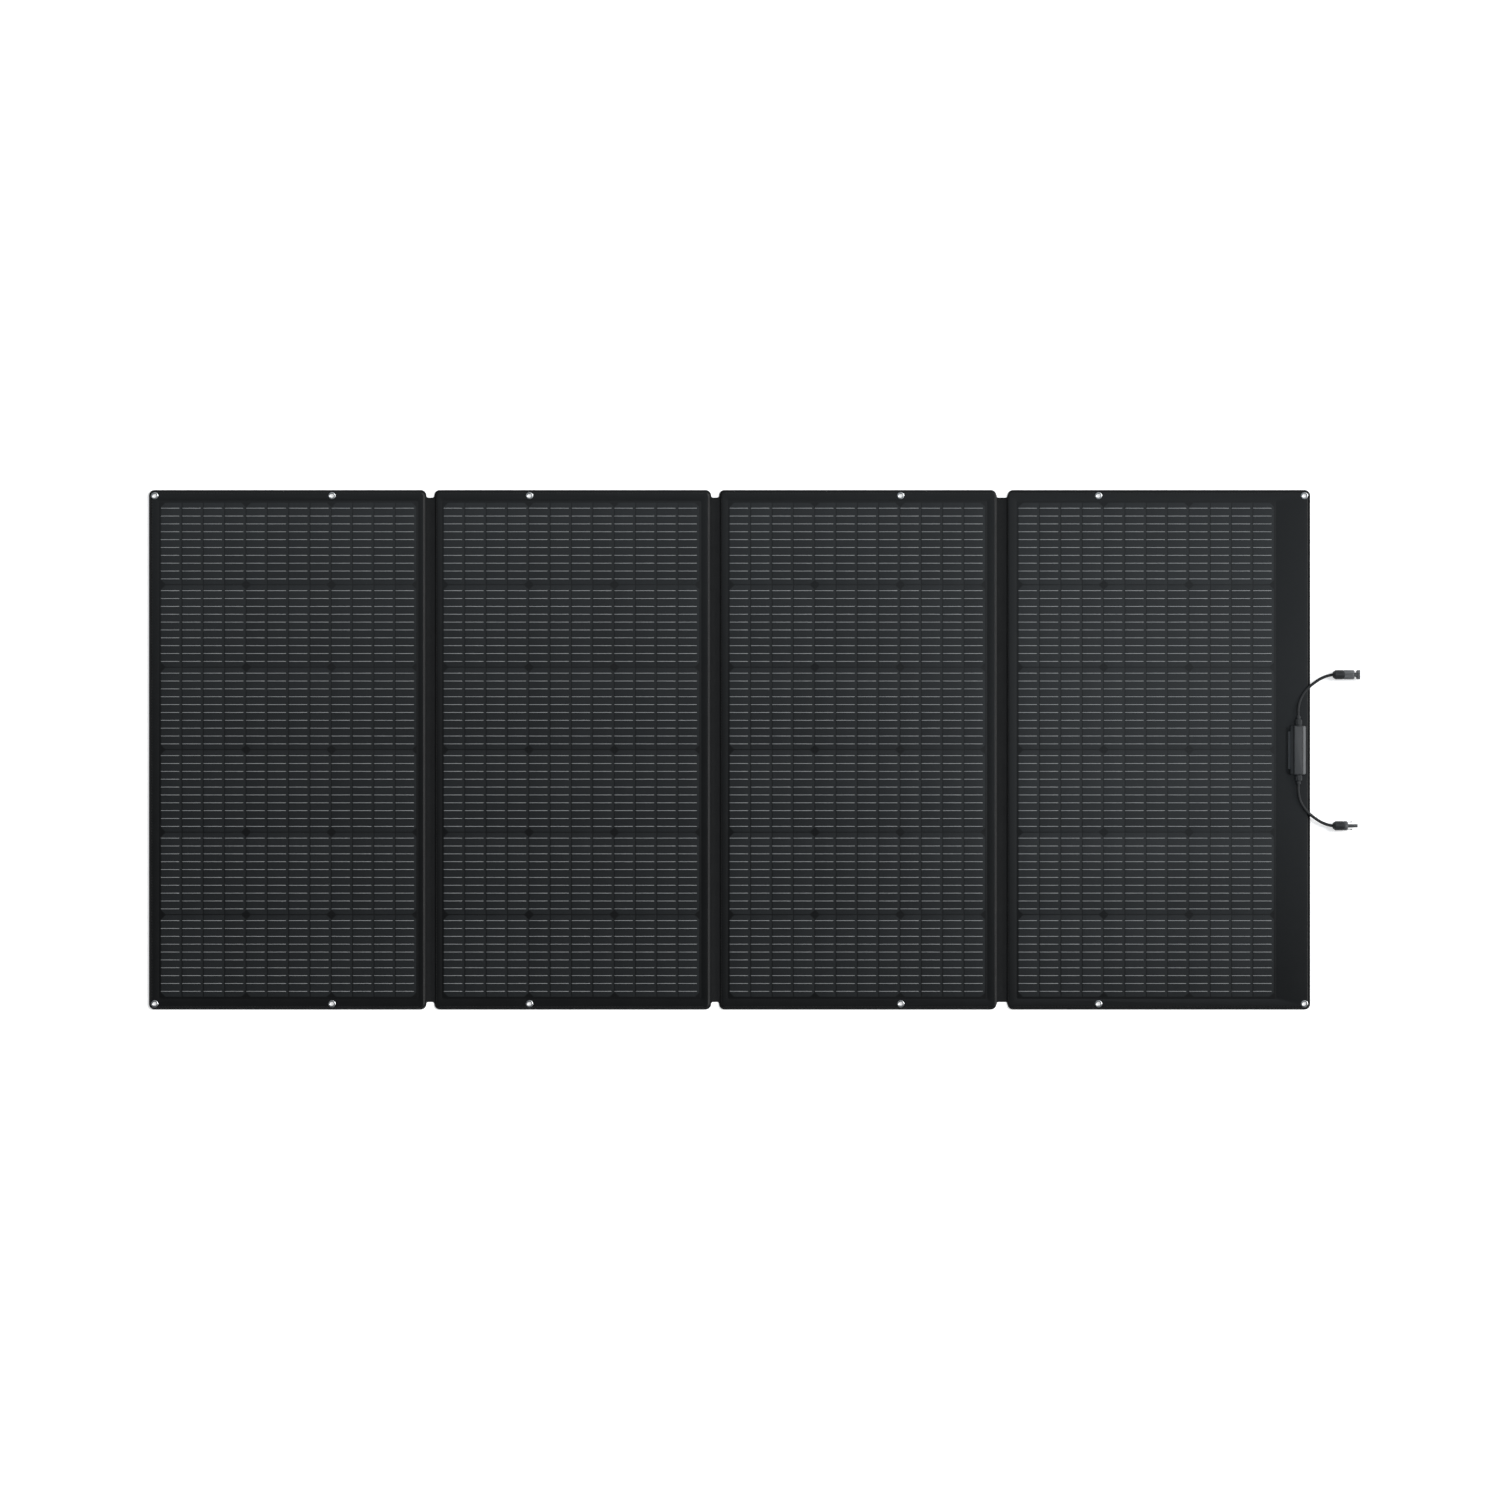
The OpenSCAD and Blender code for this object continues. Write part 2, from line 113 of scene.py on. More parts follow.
COVER_LOW, COVER_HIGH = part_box("box_cover")
BOX_X = (COVER_LOW.x + COVER_HIGH.x) / 2
BOX_Y = (COVER_LOW.y + COVER_HIGH.y) / 2
BOX_HALF_LEN = (COVER_HIGH.y - COVER_LOW.y) / 2
GLAND_AXIS_Z = FACE_Z + 8 * MM


# ---- camera, light and floor ----

VIEW_WIDTH = 3.0555
VIEW_X = 0.0416
VIEW_Y = -0.0005
CAMERA_HEIGHT = 30.0
SKY_COLOR = (0.9, 1.0, 1.08)
SKY_STRENGTH = 0.1
FLOOR_HALF = 60
# far lights: name, compass angle (0 is +X, 90 is +Y) and height in degrees, strength, softness in degrees
SUNS = (
    ("key", 20, 42, 3.9, 28),
    ("side", 5, 16, 1.4, 18),
    ("fill", 185, 20, 0.22, 20),
)
# overhead lights: name, place, size and power
SOFTBOXES = (
    ("strip", (0.8, 1.08, 2.0), (5.6, 1.6), 15.5),
    ("panel", (1.27, 0.11, 2.0), (1.5, 0.8), 4.8),
)


def put(name, data):
    """A new object in the scene."""
    made = bpy.data.objects.new(name, data)
    bpy.context.scene.collection.objects.link(made)
    return made


def make_camera():
    """A long lens straight above the sheet, with +Y up in the picture."""
    data = bpy.data.cameras.new("camera")
    data.sensor_width = 36
    data.lens = data.sensor_width * CAMERA_HEIGHT / VIEW_WIDTH
    data.clip_end = 200
    camera = put("camera", data)
    camera.location = (VIEW_X, VIEW_Y, CAMERA_HEIGHT)
    bpy.context.scene.camera = camera


def make_sun(name, azimuth, elevation, strength, softness):
    """A far light that shines from a compass angle and a height."""
    data = bpy.data.lights.new(name, "SUN")
    data.energy = strength
    data.angle = math.radians(softness)
    turn, rise = math.radians(azimuth), math.radians(elevation)
    towards = Vector((math.cos(turn) * math.cos(rise), math.sin(turn) * math.cos(rise), math.sin(rise)))
    put(name, data).rotation_euler = towards.to_track_quat("Z", "Y").to_euler()


def make_softbox(name, place, size, power):
    """A dim rectangular light that hangs over a place and shines down."""
    data = bpy.data.lights.new(name, "AREA")
    data.shape = "RECTANGLE"
    data.size, data.size_y = size
    data.energy = power
    data.color = SKY_COLOR
    light = put(name, data)
    light.location = place
    light.visible_camera = False


def make_room():
    """The sky, the lights and the floor."""
    scene = bpy.context.scene
    scene.view_settings.view_transform = "Standard"
    world = bpy.data.worlds.new("room")
    world.use_nodes = True
    background = world.node_tree.nodes["Background"]
    background.inputs["Color"].default_value = (*SKY_COLOR, 1)
    background.inputs["Strength"].default_value = SKY_STRENGTH
    scene.world = world
    for sun in SUNS:
        make_sun(*sun)
    for softbox in SOFTBOXES:
        make_softbox(*softbox)
    make_floor()


def make_floor():
    """One large pale square under everything."""
    corners = ((-1, -1), (1, -1), (1, 1), (-1, 1))
    floor = Shape()
    floor.add([(x * FLOOR_HALF, y * FLOOR_HALF, 0) for x, y in corners], [[0, 1, 2, 3]])
    floor.make("floor", [floor_look()])


# ---- meshes ----

# how many sides round eyelets and holes have, and how far a drill reaches, in millimetres
RING_SIDES = 48
DRILL_FROM, DRILL_TO = -10, 20


class Shape:
    """The points and faces of one piece, gathered shell by shell."""

    def __init__(self):
        self.points = []
        self.faces = []
        self.finish = []

    def add(self, points, faces, finish=0):
        """Adds a shell. finish is the number of its material."""
        start = len(self.points)
        self.points.extend(points)
        self.faces.extend([[start + i for i in face] for face in faces])
        self.finish.extend([finish] * len(faces))

    def skin(self, loops, finish=0, clockwise=False):
        """Adds a closed shell through loops with the same number of points, capped at both ends.
        The loops run anticlockwise as seen from the last one, unless they are said to be clockwise."""
        count = len(loops[0])
        faces = [list(range(count))[::-1]]
        for row in range(len(loops) - 1):
            for k in range(count):
                a = row * count + k
                b = row * count + (k + 1) % count
                faces.append([a, b, b + count, a + count])
        last = (len(loops) - 1) * count
        faces.append([last + k for k in range(count)])
        if clockwise:
            faces = [[face[0], *face[:0:-1]] for face in faces]
        self.add([point for loop in loops for point in loop], faces, finish)

    def make(self, name, materials, sharp=40):
        """The finished object, smooth except where it bends by more than sharp degrees."""
        mesh = bpy.data.meshes.new(name)
        mesh.from_pydata([tuple(point) for point in self.points], [], self.faces)
        for material in materials:
            mesh.materials.append(material)
        mesh.polygons.foreach_set("material_index", self.finish)
        smooth(mesh, sharp)
        return put(name, mesh)


def smooth(mesh, sharp):
    """Shades a mesh smooth except where it bends by more than sharp degrees."""
    mesh.polygons.foreach_set("use_smooth", [True] * len(mesh.polygons))
    mesh.set_sharp_from_angle(angle=math.radians(sharp))
    mesh.update()


def corner_centres(area, radius):
    """The centres of a rectangle's rounded corners, anticlockwise from the upper right one."""
    x0, x1, y0, y1 = area
    left, right, low, high = x0 + radius, x1 - radius, y0 + radius, y1 - radius
    return [(right, high), (left, high), (left, low), (right, low)]


def rounded_loop(area, radius, height, steps=8):
    """A level loop round a rectangle with rounded corners, anticlockwise."""
    loop = []
    for number, (x, y) in enumerate(corner_centres(area, radius)):
        for i in range(steps + 1):
            turn = math.radians(90 * number + 90 * i / steps)
            loop.append(Vector((x + radius * math.cos(turn), y + radius * math.sin(turn), height)))
    return loop


def turned_loops(profile, place, sides, change=None):
    """Loops of a turned shape. The profile gives (radius, distance along the axis) in millimetres,
    place stands Z along the axis, and change may alter both at an angle in degrees."""
    loops = []
    for radius, along in profile:
        loop = []
        for k in range(sides):
            turn = 360 * k / sides
            r, z = change(radius, along, turn) if change else (radius, along)
            angle = math.radians(turn)
            loop.append(place @ (Vector((r * math.cos(angle), r * math.sin(angle), z)) * MM))
        loops.append(loop)
    return loops


def axes(origin, x, y, z):
    """A matrix that puts local X, Y and Z along three directions, from an origin."""
    return Matrix((*zip(x, y, z, origin), (0, 0, 0, 1)))


def drill(piece, places, radius, sharp=40):
    """Cuts an upright round hole through a flat piece at each place."""
    tool = Shape()
    profile = [(radius / MM, DRILL_FROM), (radius / MM, DRILL_TO)]
    for x, y in places:
        tool.skin(turned_loops(profile, Matrix.Translation((x, y, 0)), RING_SIDES))
    cutter = tool.make("drill", [])
    holes = piece.modifiers.new("holes", "BOOLEAN")
    holes.operation = "DIFFERENCE"
    holes.solver = "EXACT"
    holes.object = cutter
    graph = bpy.context.evaluated_depsgraph_get()
    mesh = bpy.data.meshes.new_from_object(piece.evaluated_get(graph))
    piece.modifiers.clear()
    piece.data = mesh
    smooth(mesh, sharp)
    bpy.data.objects.remove(cutter)


def finish_piece(piece, body, slot, *nodes):
    """Rides a piece on a body and hides the CAD nodes it stands for. slot is not used."""
    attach(piece, body)
    if nodes:
        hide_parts(*nodes)
    return piece


# ---- materials ----

class Look:
    """A material: a principled shader, and the textures that feed it."""

    def __init__(self, name, color, roughness, specular=0.5, metallic=0.0):
        self.material = bpy.data.materials.new(name)
        self.material.use_nodes = True
        self.nodes = self.material.node_tree.nodes
        self.links = self.material.node_tree.links
        self.shader = self.nodes["Principled BSDF"]
        self.color = color
        self.shader.inputs["Base Color"].default_value = (*color, 1)
        self.shader.inputs["Roughness"].default_value = roughness
        self.shader.inputs["Specular IOR Level"].default_value = specular
        self.shader.inputs["Metallic"].default_value = metallic
        self.relief = None

    def node(self, kind, *values):
        """A node whose first inputs are numbers, colours or other nodes' outputs."""
        made = self.nodes.new("ShaderNode" + kind)
        for socket, value in zip(made.inputs, values):
            if isinstance(value, bpy.types.NodeSocket):
                self.links.new(value, socket)
            elif value is not None:
                socket.default_value = value
        return made

    def math(self, operation, *values):
        """The result of one sum on numbers or other nodes' outputs."""
        made = self.node("Math", *values)
        made.operation = operation
        return made.outputs[0]

    def place(self, scale=(1, 1, 1), source="Object"):
        """Coordinates stretched by a scale."""
        mapping = self.node("Mapping", self.node("TexCoord").outputs[source])
        mapping.inputs["Scale"].default_value = scale
        return mapping.outputs[0]

    def noise(self, scale, detail=2.0, stretch=(1, 1, 1), source="Object"):
        """Soft noise from 0 to 1; scale is how many lumps lie in a metre."""
        made = self.node("TexNoise", self.place(stretch, source))
        made.inputs["Scale"].default_value = scale
        made.inputs["Detail"].default_value = detail
        return made.outputs[0]

    def between(self, value, low, high, from_low=0.0, from_high=1.0):
        """A value taken from one range to another."""
        made = self.node("MapRange", value, from_low, from_high, low, high)
        return made.outputs[0]

    def mix(self, factor, low, high):
        """Makes the base colour run from low to high with the factor."""
        made = self.nodes.new("ShaderNodeMix")
        made.data_type = "RGBA"
        self.links.new(factor, made.inputs[0])
        for socket, color in ((made.inputs[6], low), (made.inputs[7], high)):
            if isinstance(color, tuple):
                socket.default_value = (*color, 1)
            else:
                self.links.new(color, socket)
        self.links.new(made.outputs[2], self.shader.inputs["Base Color"])
        return made.outputs[2]

    def tint(self, factor, low, high):
        """The base colour runs from low times to high times the look's colour with the factor."""
        return self.mix(factor, tuple(c * low for c in self.color), tuple(c * high for c in self.color))

    def roughen(self, value, low, high):
        """The roughness runs from low to high with the value."""
        self.links.new(self.between(value, low, high), self.shader.inputs["Roughness"])

    def bump(self, height, strength, depth):
        """Raises the surface by depth millimetres where the height is 1."""
        made = self.nodes.new("ShaderNodeBump")
        made.inputs["Strength"].default_value = strength
        made.inputs["Distance"].default_value = depth * MM
        self.links.new(height, made.inputs["Height"])
        if self.relief:
            self.links.new(self.relief, made.inputs["Normal"])
        self.relief = made.outputs[0]
        self.links.new(self.relief, self.shader.inputs["Normal"])

    def weave(self, pitch, source="Object"):
        """Height of a plain weave whose threads lie pitch millimetres apart and wander a little."""
        parts = self.node("SeparateXYZ", self.place(source=source))
        wander = self.math("MULTIPLY", self.noise(45, 2, source=source), 5.0)
        waves = []
        for axis in (0, 1):
            angle = self.math("MULTIPLY_ADD", parts.outputs[axis], math.pi / (pitch * MM), wander)
            waves.append(self.math("SINE", angle, None))
        crossing = self.math("MULTIPLY", *waves)
        return self.math("MULTIPLY_ADD", crossing, 0.3, self.math("ABSOLUTE", crossing, None))


# how many dimples lie in a metre of the front film, and how deep they are, in millimetres
DIMPLES = 620
DIMPLE_DEPTH = 0.12
FINGER_PITCH = 1.5 * MM
FINGER_COLOR = (0.036, 0.039, 0.041)
FLOOR_GLOW = 0.6


def floor_look():
    """Pale matt floor that gives off a little light, so that it comes out near white."""
    look = Look("pale_floor", (0.55, 0.55, 0.55), 0.9, specular=0.0)
    look.tint(look.noise(0.7), 0.99, 1.0)
    look.shader.inputs["Emission Color"].default_value = (1, 1, 1, 1)
    look.shader.inputs["Emission Strength"].default_value = FLOOR_GLOW
    return look.material


def emboss(look, strength):
    """The fine dimples of the textured front film."""
    cells = look.node("TexVoronoi", look.place())
    cells.inputs["Scale"].default_value = DIMPLES
    cells.feature = "SMOOTH_F1"
    look.bump(cells.outputs["Distance"], strength, DIMPLE_DEPTH)


def film_look():
    """The black front film, with its dimples."""
    look = Look("black_front_film", (0.0016, 0.0018, 0.002), 0.35, specular=0.3)
    look.tint(look.noise(6, 5), 0.8, 1.25)
    look.roughen(look.noise(25, 4), 0.32, 0.38)
    emboss(look, 0.25)
    return look.material


def edge_look():
    """The film's pressed edge, duller and rougher than its face."""
    look = Look("pressed_edge", (0.0026, 0.0028, 0.003), 0.68, specular=0.26)
    look.tint(look.noise(50, 4), 0.8, 1.25)
    look.roughen(look.noise(80, 4), 0.6, 0.74)
    look.bump(look.weave(0.6), 0.4, 0.1)
    return look.material


def cell_look():
    """Dark silicon with fine printed fingers, under the film."""
    look = Look("solar_cells", (0.0072, 0.0082, 0.009), 0.35, specular=0.3)
    tone = look.node("Attribute")
    tone.attribute_name = "tone"
    cloudy = look.math("MULTIPLY_ADD", look.noise(60, 4), 0.35, tone.outputs["Fac"])
    base = look.tint(cloudy, 0.9, 1.12)
    along = look.node("SeparateXYZ", look.place()).outputs[0]
    ruler = look.math("PINGPONG", look.math("MULTIPLY", along, 1 / FINGER_PITCH), 0.5)
    finger = look.between(ruler, 1.0, 0.0, 0.02, 0.045)
    look.mix(finger, base, FINGER_COLOR)
    look.roughen(look.noise(30, 3), 0.32, 0.38)
    emboss(look, 0.2)
    return look.material


def wire_look():
    """Tinned flat wire, slightly uneven along its length."""
    look = Look("tinned_wire", (0.27, 0.276, 0.282), 0.4, specular=0.5)
    look.tint(look.noise(260, 3, (0.4, 1, 1)), 0.82, 1.15)
    look.bump(look.noise(900, 2), 0.25, 0.05)
    return look.material


def cloth_look(name, color, pitch, source="Object"):
    """Coated woven cloth: matt threads with a slight sheen and worn, dusty patches."""
    look = Look(name, color, 0.78, specular=0.16)
    look.shader.inputs["Sheen Weight"].default_value = 0.03
    look.shader.inputs["Sheen Roughness"].default_value = 0.5
    look.tint(look.noise(14, 5, source=source), 0.78, 1.25)
    look.roughen(look.noise(30, 3, source=source), 0.7, 0.86)
    look.bump(look.weave(pitch, source), 0.55, 0.16)
    look.bump(look.noise(90, 3, source=source), 0.2, 0.3)
    return look.material


def thread_look():
    """Twisted black sewing thread."""
    look = Look("black_thread", (0.012, 0.0125, 0.013), 0.6, specular=0.35)
    look.tint(look.noise(400, 2), 0.75, 1.3)
    look.bump(look.noise(1800, 2, (1, 0.5, 1)), 0.5, 0.08)
    return look.material


def metal_look(name, color, roughness, grain):
    """Worn metal: fine scratches and slightly cloudy gloss."""
    look = Look(name, color, roughness, metallic=1.0)
    look.tint(look.noise(grain, 4), 0.86, 1.1)
    look.roughen(look.noise(grain * 1.7, 4), roughness - 0.07, roughness + 0.09)
    look.bump(look.noise(grain * 4, 3, (1, 0.25, 1)), 0.12, 0.05)
    return look.material


def plastic_look(name, color, roughness, grain=0.35):
    """Moulded plastic with a spark-eroded grain."""
    look = Look(name, color, roughness, specular=0.3)
    look.tint(look.noise(35, 4), 0.9, 1.12)
    look.roughen(look.noise(120, 3), roughness - 0.05, roughness + 0.06)
    look.bump(look.noise(1500, 2), grain, 0.05)
    return look.material


def rubber_look(name, color, roughness=0.57, specular=0.2):
    """Matt rubber or dull nylon."""
    look = Look(name, color, roughness, specular)
    look.tint(look.noise(70, 4), 0.85, 1.2)
    look.roughen(look.noise(160, 3), roughness - 0.07, roughness + 0.07)
    look.bump(look.noise(700, 3), 0.15, 0.06)
    return look.material


def board_look():
    """Glass-fibre laminate: a coarse weave under resin."""
    look = Look("glass_fibre_board", (0.05, 0.055, 0.045), 0.5)
    look.tint(look.weave(1.2), 0.8, 1.2)
    look.bump(look.weave(1.2), 0.2, 0.05)
    return look.material


def strand_look():
    """The fine copper strands of a lead's core."""
    look = Look("copper_strands", (0.72, 0.45, 0.3), 0.35, metallic=1.0)
    look.tint(look.noise(900, 2, (1, 0.1, 1)), 0.7, 1.1)
    look.bump(look.noise(1200, 2, (1, 0.1, 1)), 0.6, 0.1)
    return look.material


# ---- the leads ----

# A lead's route, as (across, along, height): across and along are from the middle of the box.
LEAD_ROUTE = [
    (0.0, 0.071, 0.013),
    (0.0, 0.084, 0.0125),
    (0.0025, 0.098, 0.0105),
    (0.0085, 0.1115, 0.0085),
    (0.0165, 0.123, 0.0082),
    (0.026, 0.132, 0.0082),
    (0.0365, 0.14, 0.0084),
    (0.047, 0.1465, 0.0088),
    (0.0585, 0.1512, 0.0093),
    (0.07, 0.1538, 0.0097),
    (0.076, 0.1538, 0.0097),
]
LEAD_D = 0.006
# how many pieces each span between two points of the route is drawn in
LEAD_STEPS = 3


def lead_line(side):
    """The smooth centreline of a lead, through every point of its route."""
    route = [Vector((BOX_X + a, BOX_Y + side * b, z)) for a, b, z in LEAD_ROUTE]
    padded = [route[0] * 2 - route[1], *route, route[-1] * 2 - route[-2]]
    line = []
    for before, start, end, after in zip(padded, padded[1:], padded[2:], padded[3:]):
        for i in range(LEAD_STEPS):
            t = i / LEAD_STEPS
            line.append(0.5 * (
                2 * start + (end - before) * t
                + (2 * before - 5 * start + 4 * end - after) * t ** 2
                + (3 * start - before - 3 * end + after) * t ** 3
            ))
    return [*line, route[-1]]


def make_lead(name, node, side, look):
    """A round cable along its route."""
    line = lead_line(side)
    data = bpy.data.curves.new(name, "CURVE")
    data.dimensions = "3D"
    data.bevel_depth = LEAD_D / 2
    data.bevel_resolution = 6
    data.use_fill_caps = True
    spline = data.splines.new("POLY")
    spline.points.add(len(line) - 1)
    for point, place in zip(spline.points, line):
        point.co = (*place, 1)
    spline.use_smooth = True
    data.materials.append(look)
    return finish_piece(put(name, data), "panel_4", "lead", node)


# ---- the connectors ----

TURNED_SIDES = 96
# the nut's grip flutes: how many, how deep, and where they start and end, in millimetres
FLUTES = 8
FLUTE_DEPTH = 0.45
FLUTE_FROM, FLUTE_TO = 7, 16
# how far the nut's front edge runs forward and back, and where the edge starts
NUT_LOBE = 2.4
NUT_FRONT = 20
# a housing's channels: depth, the angles to the foot and the top of their walls, where they start, the
# radius that they start from, and about that of their floors
CHANNEL_DEPTH = 1.2
CHANNEL_WALL, CHANNEL_EDGE = 14, 18
CHANNEL_FROM = 24
CHANNEL_OUTSIDE, CHANNEL_FLOOR_R = 7, 9
# the cosine of the steepest tilt that counts as a channel's floor
LEVEL_FACE = 0.95
# a housing's end inside its nut, as (radius, distance from the nut's mouth)
HOUSING_END = [(8.0, 17), (9.25, 17), (9.25, 23), (9.55, 23.5), (9.6, 24.5)]


def plug_place(node):
    """The mouth of a connector's nut, with Z out along the connector and Y up."""
    low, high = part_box(node)
    mouth = (low.x, (low.y + high.y) / 2, (low.z + high.z) / 2)
    return axes(mouth, (0, 1, 0), (0, 0, 1), (1, 0, 0))


def make_nut(name, node, look):
    """Cable nut: a tapered mouth, shallow grip flutes, and a lobed front edge."""
    def change(radius, along, turn):
        if FLUTE_FROM < along < FLUTE_TO:
            flute = max(0.0, -math.cos(math.radians(turn * FLUTES)))
            radius -= FLUTE_DEPTH * flute ** 2
        if along > NUT_FRONT:
            along -= NUT_LOBE * math.cos(math.radians(2 * turn))
        return radius, along
    profile = [
        (3.02, 5), (3.02, 0.4), (3.4, 0), (5.2, 0), (5.7, 0.25), (9.15, 5.1), (9.5, 5.6), (9.6, 6.2),
        (9.6, 7), (9.6, 7.8), (9.6, 9), (9.6, 12), (9.6, 14.4), (9.6, 15.6), (9.6, 16.4), (9.6, 18.6),
        (9.6, 22.4), (9.5, 22.85), (9.25, 23), (8.9, 23), (8.9, 16),
    ]
    place = plug_place(node)
    shape = Shape()
    shape.skin(turned_loops(profile, place, TURNED_SIDES, change))
    add_bar(shape, place, (0, 9.62, 21.9), (5.6, 0.5, 1.7))
    return finish_piece(shape.make(name, [look]), "panel_4", "connector", node)


def add_bar(shape, place, centre, size, edge=0.16):
    """A small block with chamfered edges, in millimetres in its own frame."""
    half = [s / 2 for s in size]
    loops = []
    for level, inset in ((-1, edge), (-1 + 2 * edge / size[2], 0), (1 - 2 * edge / size[2], 0), (1, edge)):
        a, b = half[0] - inset, half[1] - inset
        c, d = a - edge, b - edge
        corners = ((a, d), (c, b), (-c, b), (-a, d), (-a, -d), (-c, -b), (c, -b), (a, -d))
        loops.append([
            place @ (Vector((centre[0] + x, centre[1] + y, centre[2] + level * half[2])) * MM)
            for x, y in corners
        ])
    shape.skin(loops)


def channelled(radius, along, turn):
    """Sinks a channel along the top and the bottom of a connector's housing."""
    off = abs((turn % 180) - 90)
    if along > CHANNEL_FROM and radius > CHANNEL_OUTSIDE:
        share = (CHANNEL_EDGE - off) / (CHANNEL_EDGE - CHANNEL_WALL)
        radius -= CHANNEL_DEPTH * min(1.0, max(0.0, share))
    return radius, along


def shade_channel_floors(housing, axis_y):
    """Gives the floors of a housing's channels its second material: the same plastic painted darker, as shade
    in the recess.
    """
    half_w = CHANNEL_FLOOR_R * MM * math.sin(math.radians(CHANNEL_WALL))
    for polygon in housing.data.polygons:
        is_level = abs(polygon.normal.z) > LEVEL_FACE
        polygon.material_index = int(is_level and abs(polygon.center.y - axis_y) < half_w)


def make_socket(look, channel_shade):
    """Socket housing: a barrel whose channel floors are painted darker as shade, a neck with a spine above
    and below, and a wide flange round the recess."""
    profile = [
        *HOUSING_END, (9.6, 42), (9.4, 42.5), (8.3, 44.2),
        (7.8, 44.5), (4.8, 44.5), (4.5, 44.8), (4.5, 47.6), (4.8, 48), (7.8, 48), (8.2, 48.2), (9.3, 49.6),
        (9.6, 50.2), (9.6, 55.5), (9.2, 56), (4, 56), (3.5, 55.6), (3.5, 34),
    ]
    shape = Shape()
    place = plug_place("socket_nut")
    shape.skin(turned_loops(profile, place, TURNED_SIDES, channelled))
    for side in (-1, 1):
        add_bar(shape, place, (0, side * 6.2, 46.3), (5.6, 3.9, 5.4), edge=0.3)
    housing = shape.make("socket_housing", [look, channel_shade])
    shade_channel_floors(housing, place.translation.y)
    return finish_piece(housing, "panel_4", "connector", "socket_body")


def make_plug(look):
    """Plug housing: a short barrel, a taper, the sleeve round the pin, and two latch prongs."""
    profile = [
        *HOUSING_END, (9.6, 28.2), (9.3, 28.9), (8.7, 29.4),
        (5.1, 31.6), (4.4, 31.8), (3.7, 31.8), (3.4, 32.1), (3.4, 41), (3.2, 41.2), (3.2, 41.8), (3.4, 42),
        (3.4, 50.6), (3.2, 51), (2.7, 51), (2.4, 50.7), (2.4, 36),
    ]
    place = plug_place("plug_nut")
    shape = Shape()
    shape.skin(turned_loops(profile, place, TURNED_SIDES, channelled))
    for side in (-1, 1):
        add_bar(shape, place, (side * 7.6, 0, 32.5), (0.8, 4.6, 11.5))
        add_bar(shape, place, (side * 7.8, 0, 38), (1.7, 4.8, 4), edge=0.4)
    return finish_piece(shape.make("plug_housing", [look]), "panel_4", "connector", "plug_body")


# ---- the junction box ----

# from the middle of the box, in millimetres
FLANGE_LEFT, FLANGE_RIGHT, FLANGE_END, FLANGE_CUT = 25, 17.5, 50, 6
RIB_X, RIB_W, RIB_HALF_LEN = -17.75, 5.2, 38.5
BOX_STEPS = 6
# the glands' grip ribs: how many, how deep the grooves between them are, and where they start and end
GLAND_RIBS = 8
GROOVE_DEPTH = 0.9
GRIP_FROM, GRIP_TO = 2.5, 11.6
# how far a groove's wall starts from the middle of a rib, and its width, as shares of half a rib's pitch
GROOVE_WALL, WALL_WIDTH = 0.72, 0.16


def box_loops(profile, middle=0):
    """Loops of a moulded form: (height, half width, half length, corner radius). middle is how far
    right of the box's middle it stands."""
    loops = []
    for height, half_w, half_l, radius in profile:
        left, right = BOX_X + (middle - half_w) * MM, BOX_X + (middle + half_w) * MM
        area = (left, right, BOX_Y - half_l * MM, BOX_Y + half_l * MM)
        loops.append(rounded_loop(area, radius * MM, FACE_Z + height * MM, BOX_STEPS))
    return loops


def make_box_shell(look, flange):
    """The box's base: a sloped housing, open at the top, on a dark flange with a raised rib."""
    shape = Shape()
    shape.skin(box_loops([
        (0, 15.6, 50, 4), (2.2, 15.6, 50, 4), (2.9, 15.5, 49.9, 3.9), (3.8, 15.25, 49.8, 3.7),
        (5.2, 14.5, 49.7, 3.3), (7, 12.8, 49.6, 2.9), (8.3, 11.5, 49.6, 2.6), (8.8, 11.1, 49.5, 2.4),
        (9.4, 10.85, 49.5, 2.3), (12.5, 10.1, 49.5, 2),
        (12.9, 9.9, 49.3, 1.8), (13, 9.6, 49, 1.6), (13, 8.1, 48, 1.2), (12.8, 8, 47.9, 1), (3.2, 8, 47.9, 1),
    ]))
    shape.skin(flange_loops(), finish=1)
    rib_levels = ((1, 0, 2.2), (2.3, 0, 2.2), (2.6, 0.15, 2.05), (2.75, 0.4, 1.8), (2.8, 0.8, 1.4))
    shape.skin(box_loops([
        (height, RIB_W / 2 - inset, RIB_HALF_LEN - inset, radius) for height, inset, radius in rib_levels
    ], RIB_X))
    shell = shape.make("junction_box_shell", [look, flange], 30)
    return finish_piece(shell, "panel_4", "box_shell", "box_base")


def flange_loops():
    """The thin flange, with its two left corners cut off."""
    loops = []
    for height, inset in ((0, 0), (1.1, 0), (1.4, 0.15), (1.5, 0.5)):
        left, right = FLANGE_LEFT - inset, FLANGE_RIGHT - inset
        end, leg = FLANGE_END - inset, FLANGE_CUT - 0.6 * inset
        corners = ((right, end), (leg - left, end), (-left, end - leg),
                   (-left, leg - end), (leg - left, -end), (right, -end))
        loops.append([
            Vector((BOX_X + x * MM, BOX_Y + y * MM, FACE_Z + height * MM)) for x, y in corners
        ])
    return loops


